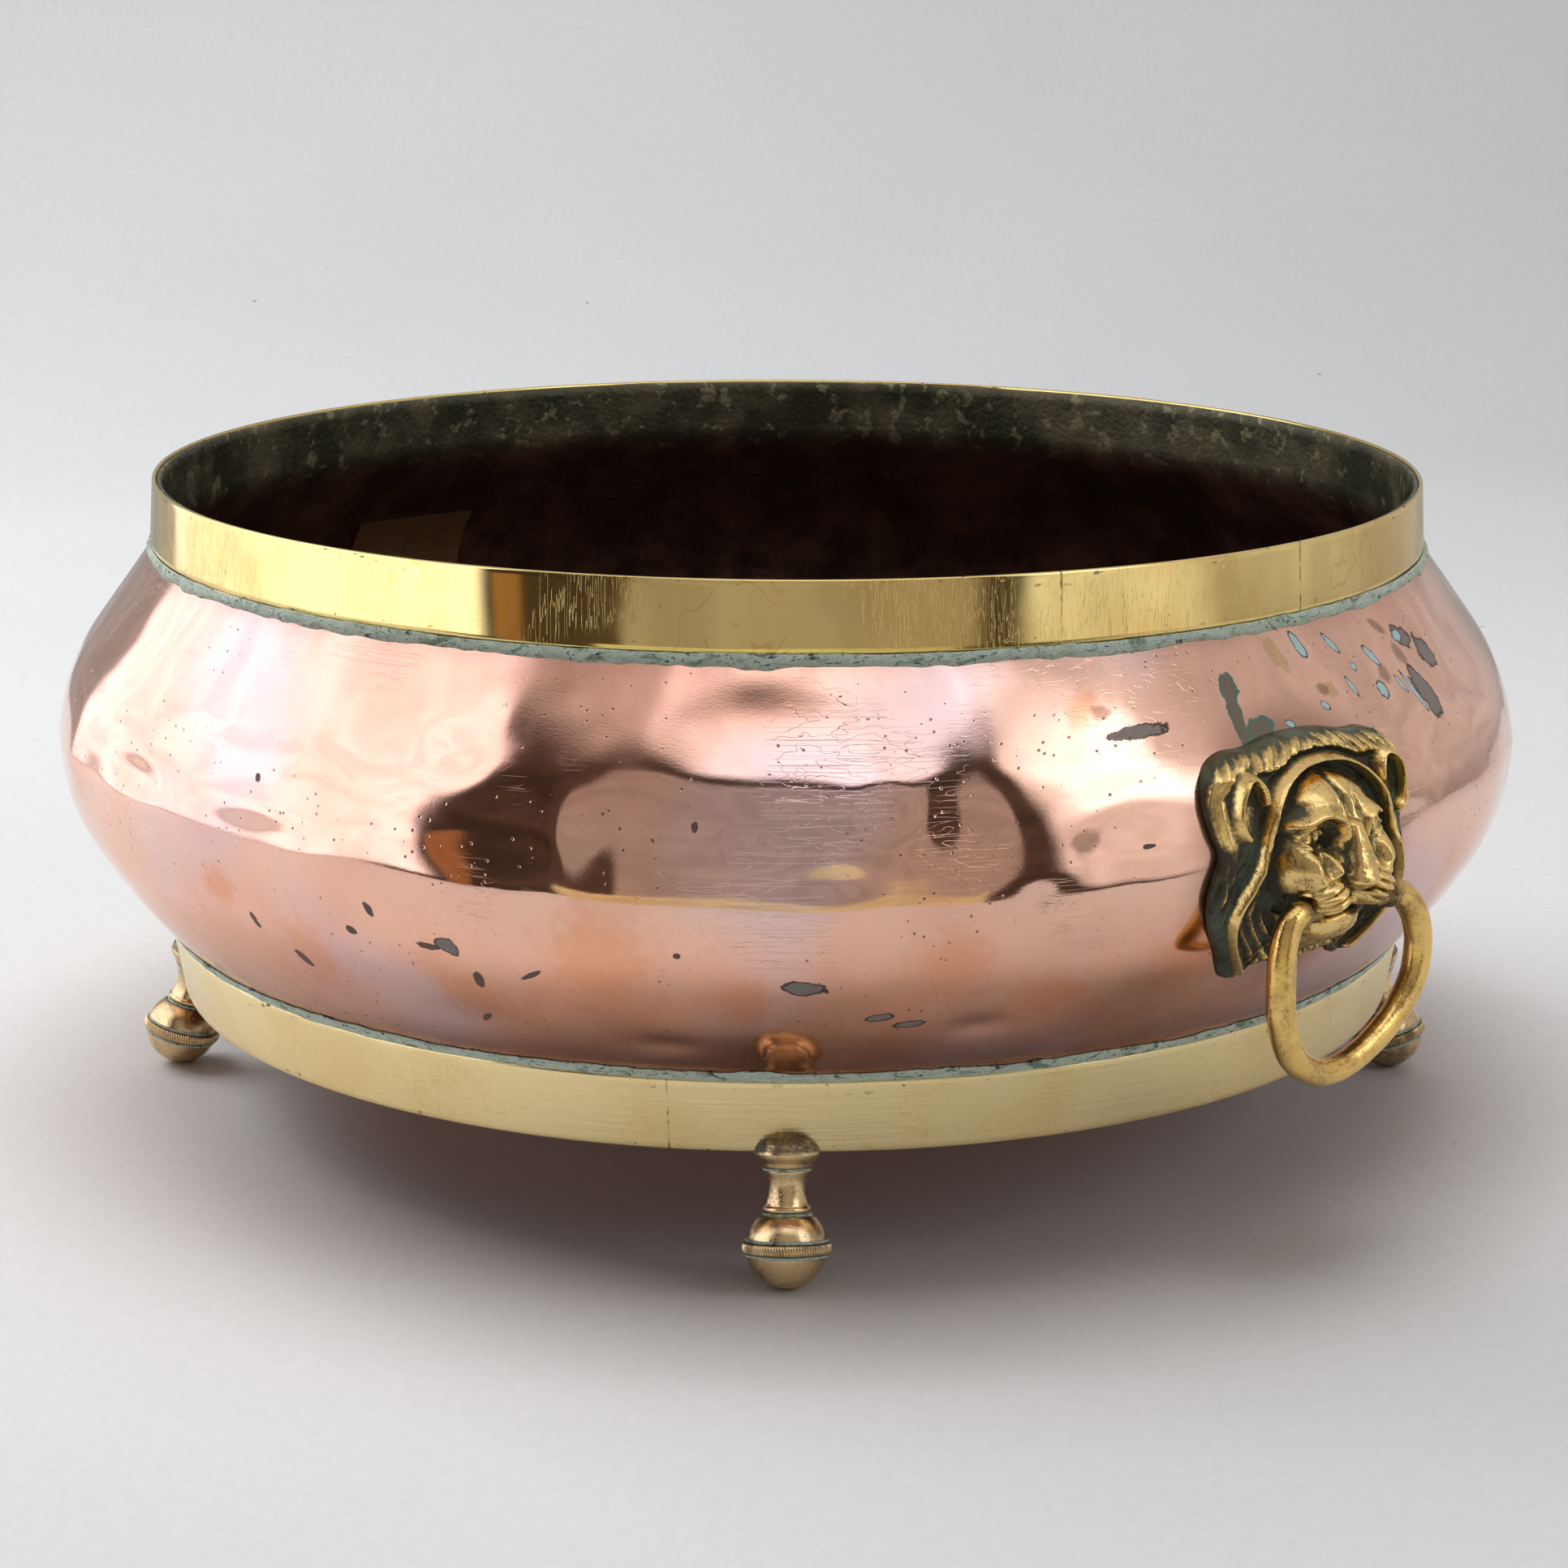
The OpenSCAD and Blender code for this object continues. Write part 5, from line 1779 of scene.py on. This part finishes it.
    def place_tent(self) -> None:
        """Makes the light tent, a dome that is only seen as a reflection.

        Its glow depends on the bearing and the elevation, panel by panel.
        """
        rise = np.radians(np.linspace(-26.0, 89.9, 60))
        dome = lathe(np.stack([950 * np.cos(rise), 950 * np.sin(rise) + 60], axis=1), 128)
        tent = grid_piece("light_tent", SheetGrid(dome, flip=True), cap_ends=False)
        g = Graph("tent_glow")
        x, y, z = g.axes(g.stretched((1.0, 1.0, 1.0), turn=(0.0, 0.0, -math.radians(self.camera_turn))))
        degrees = 180.0 / math.pi
        bearing = g.maths("MULTIPLY", g.maths("ARCTAN2", y, x), degrees)
        flat = g.maths("SQRT", g.maths("ADD", g.maths("MULTIPLY", x, x), g.maths("MULTIPLY", y, y)))
        rise_at = g.maths("MULTIPLY", g.maths("ARCTAN2", g.maths("SUBTRACT", z, 0.06), flat), degrees)
        clutter = g.noise(4.0, 2.0, 0.5)
        folds = g.step(g.noise(7.0, 3.0, 0.6, bend=1.0), 0.38, 0.62, 0.86, 1.06)
        colour = g.mix(g.step(clutter, 0.4, 0.62), self.ROOM, tuple(0.62 * c for c in self.ROOM))
        for panel in self.PANELS:
            share = self.patch(g, bearing, panel.bearing, panel.soft)
            share = g.maths("MULTIPLY", share, self.patch(g, rise_at, panel.rise, panel.soft))
            colour = g.mix(share, colour, panel.glow)
        g.surface(
            base_color=(0.0, 0.0, 0.0), specular_ior_level=0.0, emission_color=colour, emission_strength=folds
        )
        tent.data.materials.append(g.material)
        tent.visible_camera = tent.visible_diffuse = tent.visible_shadow = tent.visible_transmission = False

    @staticmethod
    def patch(g: Graph, value: Any, span: tuple[float, float], soft: float) -> Any:
        """1 between two values, with soft edges."""
        start = g.step(value, span[0] - soft / 2, span[0] + soft / 2)
        end = g.step(value, span[1] + soft / 2, span[1] - soft / 2)
        return g.maths("MULTIPLY", start, end)

    def place_floor(self) -> None:
        """Makes the paper sweep: flat under the pot, curved up behind it."""
        bend, flat_end = 0.9, 1.2
        turn = np.linspace(0.0, math.pi / 2, 24)
        flat = np.linspace(self.table_edge, -flat_end, 30)[:-1]
        ahead = np.concatenate([flat, -flat_end - bend * np.sin(turn), [-flat_end - bend]])
        high = np.concatenate([np.zeros(len(flat)), bend * (1 - np.cos(turn)), [2.6]])
        across = np.linspace(-1.6, 1.6, 40)
        away = np.array(self.direction(0.0))
        side = np.array([-away[1], away[0], 0.0])
        points = ahead[:, None, None] * away + across[None, :, None] * side
        points = points + high[:, None, None] * np.array([0, 0, 1.0])
        floor = grid_piece("paper_sweep", SheetGrid(points / MM, wrap_columns=False, flip=True))
        g = Graph("grey_paper")
        grain = g.noise(220.0, 4.0, 0.6)
        cloud = g.noise(3.0, 2.0, 0.5)
        speck = g.step(g.cells(11.0), 0.022, 0.012)
        colour = g.mix(g.step(grain, 0.3, 0.7), (0.725, 0.73, 0.735), (0.755, 0.76, 0.765))
        colour = g.mix(g.step(cloud, 0.4, 0.7, 0.0, 0.3), colour, (0.69, 0.69, 0.70))
        colour = g.mix(g.maths("MULTIPLY", speck, 0.6), colour, (0.25, 0.23, 0.21))
        g.surface(base_color=colour, roughness=0.55, specular_ior_level=0.25)
        g.relief(grain, 0.0001)
        floor.data.materials.append(g.material)


# --------------------------------------------------------------------------------------
# The whole planter
# --------------------------------------------------------------------------------------


@dataclass
class Planter:
    """Everything that is built round the frame.

    Attributes:
    """

    frame: dict[str, Any]
    outline: PotOutline = field(init=False)

    LOWER_H = 55.0
    COPPER_T = 1.3
    LAP_GAP = 0.05
    COLLAR_T = 1.2
    COLLAR_LEAN = 1.0
    BAND_T = 1.4
    BAND_LEAN = 3.5
    SPLAY = 15.0
    MASK_UP = -0.4
    BALL_R = 10.6
    FLAT_OFF = 2.05
    GROOVE_OFF = 1.95
    MILLED_H = 3.2
    MILLED_OUT = 0.7
    MUZZLE_HALF = 14.5
    RING_ROD_R = 3.6
    PIN_R = 2.4
    PIN_LENGTH = 4.5
    RING_END = 14.75

    def __post_init__(self) -> None:
        """Reads the places of the main pieces from the frame."""
        bowl, collar, band = (self.box(n) for n in ("copper_bowl", "rim_collar", "base_band"))
        self.band_z = (band[0][2], band[1][2])
        self.collar_z = (collar[0][2], collar[1][2])
        self.band_r = band[1][0]
        self.collar_r = collar[1][0]
        self.lining_z = bowl[1][2]
        self.outline = PotOutline(
            belly_r=bowl[1][0],
            belly_z=self.band_z[1] + self.LOWER_H,
            neck_r=self.collar_r - self.COLLAR_T - self.LAP_GAP,
            neck_z=self.collar_z[0],
            seat_r=self.band_r - self.BAND_T - self.LAP_GAP,
            seat_z=self.band_z[1],
        )

    @staticmethod
    def box(node: str) -> Array:
        """Lowest and highest corners of a node, in millimetres."""
        return np.array([list(c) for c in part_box(node)]) / MM

    def dress_hidden(self) -> None:
        """Gives the carried-over pieces inside their finishes."""
        steel = SteelFinish().build()
        dull = CastBrassFinish("dull_plate", metal=(0.40, 0.27, 0.15), dark=(0.07, 0.045, 0.03), gloss=0.45)
        plate = dull.build()
        for name, node in self.frame["nodes"].items():
            finish = plate if name.startswith("backing_plate") else steel
            if any(word in name for word in ("backing_plate", "studs", "nuts", "tie_rod")):
                node.data.materials.clear()
                node.data.materials.append(finish)

    def build_bowl(self) -> None:
        """Builds the copper shell."""
        masks = [(0.21 * s, 0.0, (self.outline.belly_z + self.MASK_UP) * MM) for s in (1, -1)]
        bowl = Bowl(self.outline, self.COPPER_T, self.lining_z, self.COLLAR_LEAN)
        copper = CopperFinish().build(masks, self.outline.belly_z * MM)
        piece = bowl.build(copper, DarkCopperFinish().build(self.outline.neck_z * MM))
        self.keep(piece, "root", "copper", "copper_bowl")

    def build_strips(self) -> None:
        """Builds the collar, the base band and their solder."""
        collar = Strip(
            "rim_collar_strip",
            (self.collar_r, self.collar_z[0]),
            (self.collar_r - self.COLLAR_LEAN, self.collar_z[1]),
            self.COLLAR_T,
        )
        bright = SheetBrassFinish(
            "bright_brass",
            metal=(0.90, 0.71, 0.30),
            honey=(0.70, 0.44, 0.12),
            gloss=0.06,
            lines=0.16,
            seams=(-17.5, 7.2),
            foot_z=self.collar_z[0] * MM,
            head_z=self.collar_z[1] * MM,
        )
        self.keep(collar.build(bright.build()), "root", "collar_brass", "rim_collar")
        band = Strip(
            "base_band_strip",
            (self.band_r - self.BAND_LEAN, self.band_z[0]),
            (self.band_r, self.band_z[1]),
            self.BAND_T,
        )
        satin = SheetBrassFinish(
            "satin_brass",
            metal=(0.86, 0.70, 0.37),
            honey=(0.78, 0.57, 0.22),
            gloss=0.24,
            lines=0.7,
            seams=(-48.7, 131.3),
            foot_z=self.band_z[0] * MM,
            head_z=self.band_z[1] * MM,
        )
        self.keep(band.build(satin.build()), "root", "band_brass", "base_band")
        green = VerdigrisFinish().build()
        tilt = math.tan(self.outline.shoulder)
        collar_bead = SolderBead(
            "collar_solder_bead",
            (self.outline.neck_r + 0.7, self.collar_z[0] - 1.0),
            (self.COLLAR_T - 0.2, 1.2),
            (1.9 * tilt, -1.9),
            0.45,
        )
        self.keep(collar_bead.build(green), "root", "verdigris", "collar_solder")
        rise = 2.3
        run = float(self.outline.radius_at(self.band_z[1] + rise)) - self.outline.seat_r
        base_bead = SolderBead(
            "base_solder_bead",
            (self.outline.seat_r + 0.5, self.band_z[1] + 0.3),
            (self.BAND_T - 0.35, -0.35),
            (run, rise),
            0.5,
        )
        self.keep(base_bead.build(green), "root", "verdigris", "base_solder")

    def build_feet(self) -> None:
        """Builds the four feet."""
        brass = CastBrassFinish("foot_brass", metal=(0.78, 0.58, 0.32), gloss=0.17, pits=0.5).build()
        green = VerdigrisFinish("verdigris_crust", pale=(0.50, 0.68, 0.62)).build()
        for which in Foot:
            self.build_foot(which, brass, green)

    def build_foot(self, which: Foot, brass: bpy.types.Material, green: bpy.types.Material) -> None:
        """Builds one foot from its frame boxes."""
        prefix = f"foot_{which.value}_"
        ring_box = self.box(prefix + "milled_ring")
        mid = ring_box.mean(axis=0)
        splay = math.radians(self.SPLAY)
        out = np.array([mid[0], mid[1], 0.0]) / np.hypot(mid[0], mid[1])
        axis = out * math.sin(splay) - np.array([0, 0, math.cos(splay)])
        ball_mid = (self.band_z[0] - mid[2]) / math.cos(splay)
        top = mid - axis * ball_mid
        foot = BallFoot(which, top, axis, ball_mid, self.BALL_R)
        turned_parts = {
            "cup": foot.cup(),
            "neck": foot.neck(),
            "ball_top": foot.ball_top(self.FLAT_OFF),
            "ball": foot.ball(self.FLAT_OFF, mid[2]),
            "milled_ring": foot.milled_ring(self.MILLED_H, self.BALL_R + self.MILLED_OUT),
        }
        for part, piece in turned_parts.items():
            piece.data.materials.append(brass)
            self.keep(piece, "root", "foot_brass", prefix + part)
        for part, distance, radius, fat in (
            ("crust_a", 4.6, 5.9, 0.5),
            ("crust_b", 16.1, 5.9, 0.55),
            ("crust_c", ball_mid - self.GROOVE_OFF, 10.2, 0.42),
            ("crust_d", ball_mid + self.GROOVE_OFF, 10.1, 0.45),
        ):
            crust = foot.crust(part, distance, radius, fat)
            crust.data.materials.append(green)
            self.keep(crust, "root", "verdigris")

    def build_handles(self) -> None:
        """Builds the lion masks and their rings."""
        cast = CastBrassFinish("mask_brass", metal=(0.88, 0.63, 0.25), gloss=0.15).build()
        rod = CastBrassFinish("ring_brass", metal=(0.86, 0.57, 0.19), gloss=0.11, pits=0.6).build()
        joints = {j["child"]: j for j in self.frame["joints"]}
        middle_z = self.outline.belly_z + self.MASK_UP
        for side in Side:
            pivot = np.array(joints[f"ring_{side.word}"]["pos_m"]) / MM
            reach, height = float(np.hypot(pivot[0], pivot[1])), float(pivot[2])
            mask = LionMask(
                side, self.outline, middle_z, reach, height - middle_z, self.MUZZLE_HALF, self.RING_ROD_R
            )
            self.keep(mask.build(cast), "root", "mask_brass", f"lion_mask_{side.word}")
            ring = RingHandle(
                side, (reach, height), self.RING_ROD_R, self.PIN_R, self.RING_END, self.PIN_LENGTH
            )
            self.keep(ring.build(rod), f"ring_{side.word}", "ring_brass", f"ring_handle_{side.word}")

    @staticmethod
    def keep(piece: bpy.types.Object, body: str, slot: str, *replaced: str) -> None:
        """Makes a piece ride on its body and hides what it stands for."""
        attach(piece, body)
        if replaced:
            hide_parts(*replaced)
        LOG.info("%s: %d faces", piece.name, len(piece.data.polygons))


def main() -> None:
    """Builds the planter and its stage."""
    logging.basicConfig(level=logging.INFO, format="%(message)s")
    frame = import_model()
    bpy.context.scene.view_settings.view_transform = "Standard"
    studio = Studio()
    studio.place_camera()
    studio.place_lights()
    studio.place_tent()
    studio.place_floor()
    planter = Planter(frame)
    planter.build_bowl()
    planter.build_strips()
    planter.build_feet()
    planter.build_handles()
    planter.dress_hidden()


if __name__ == "__main__":
    main()
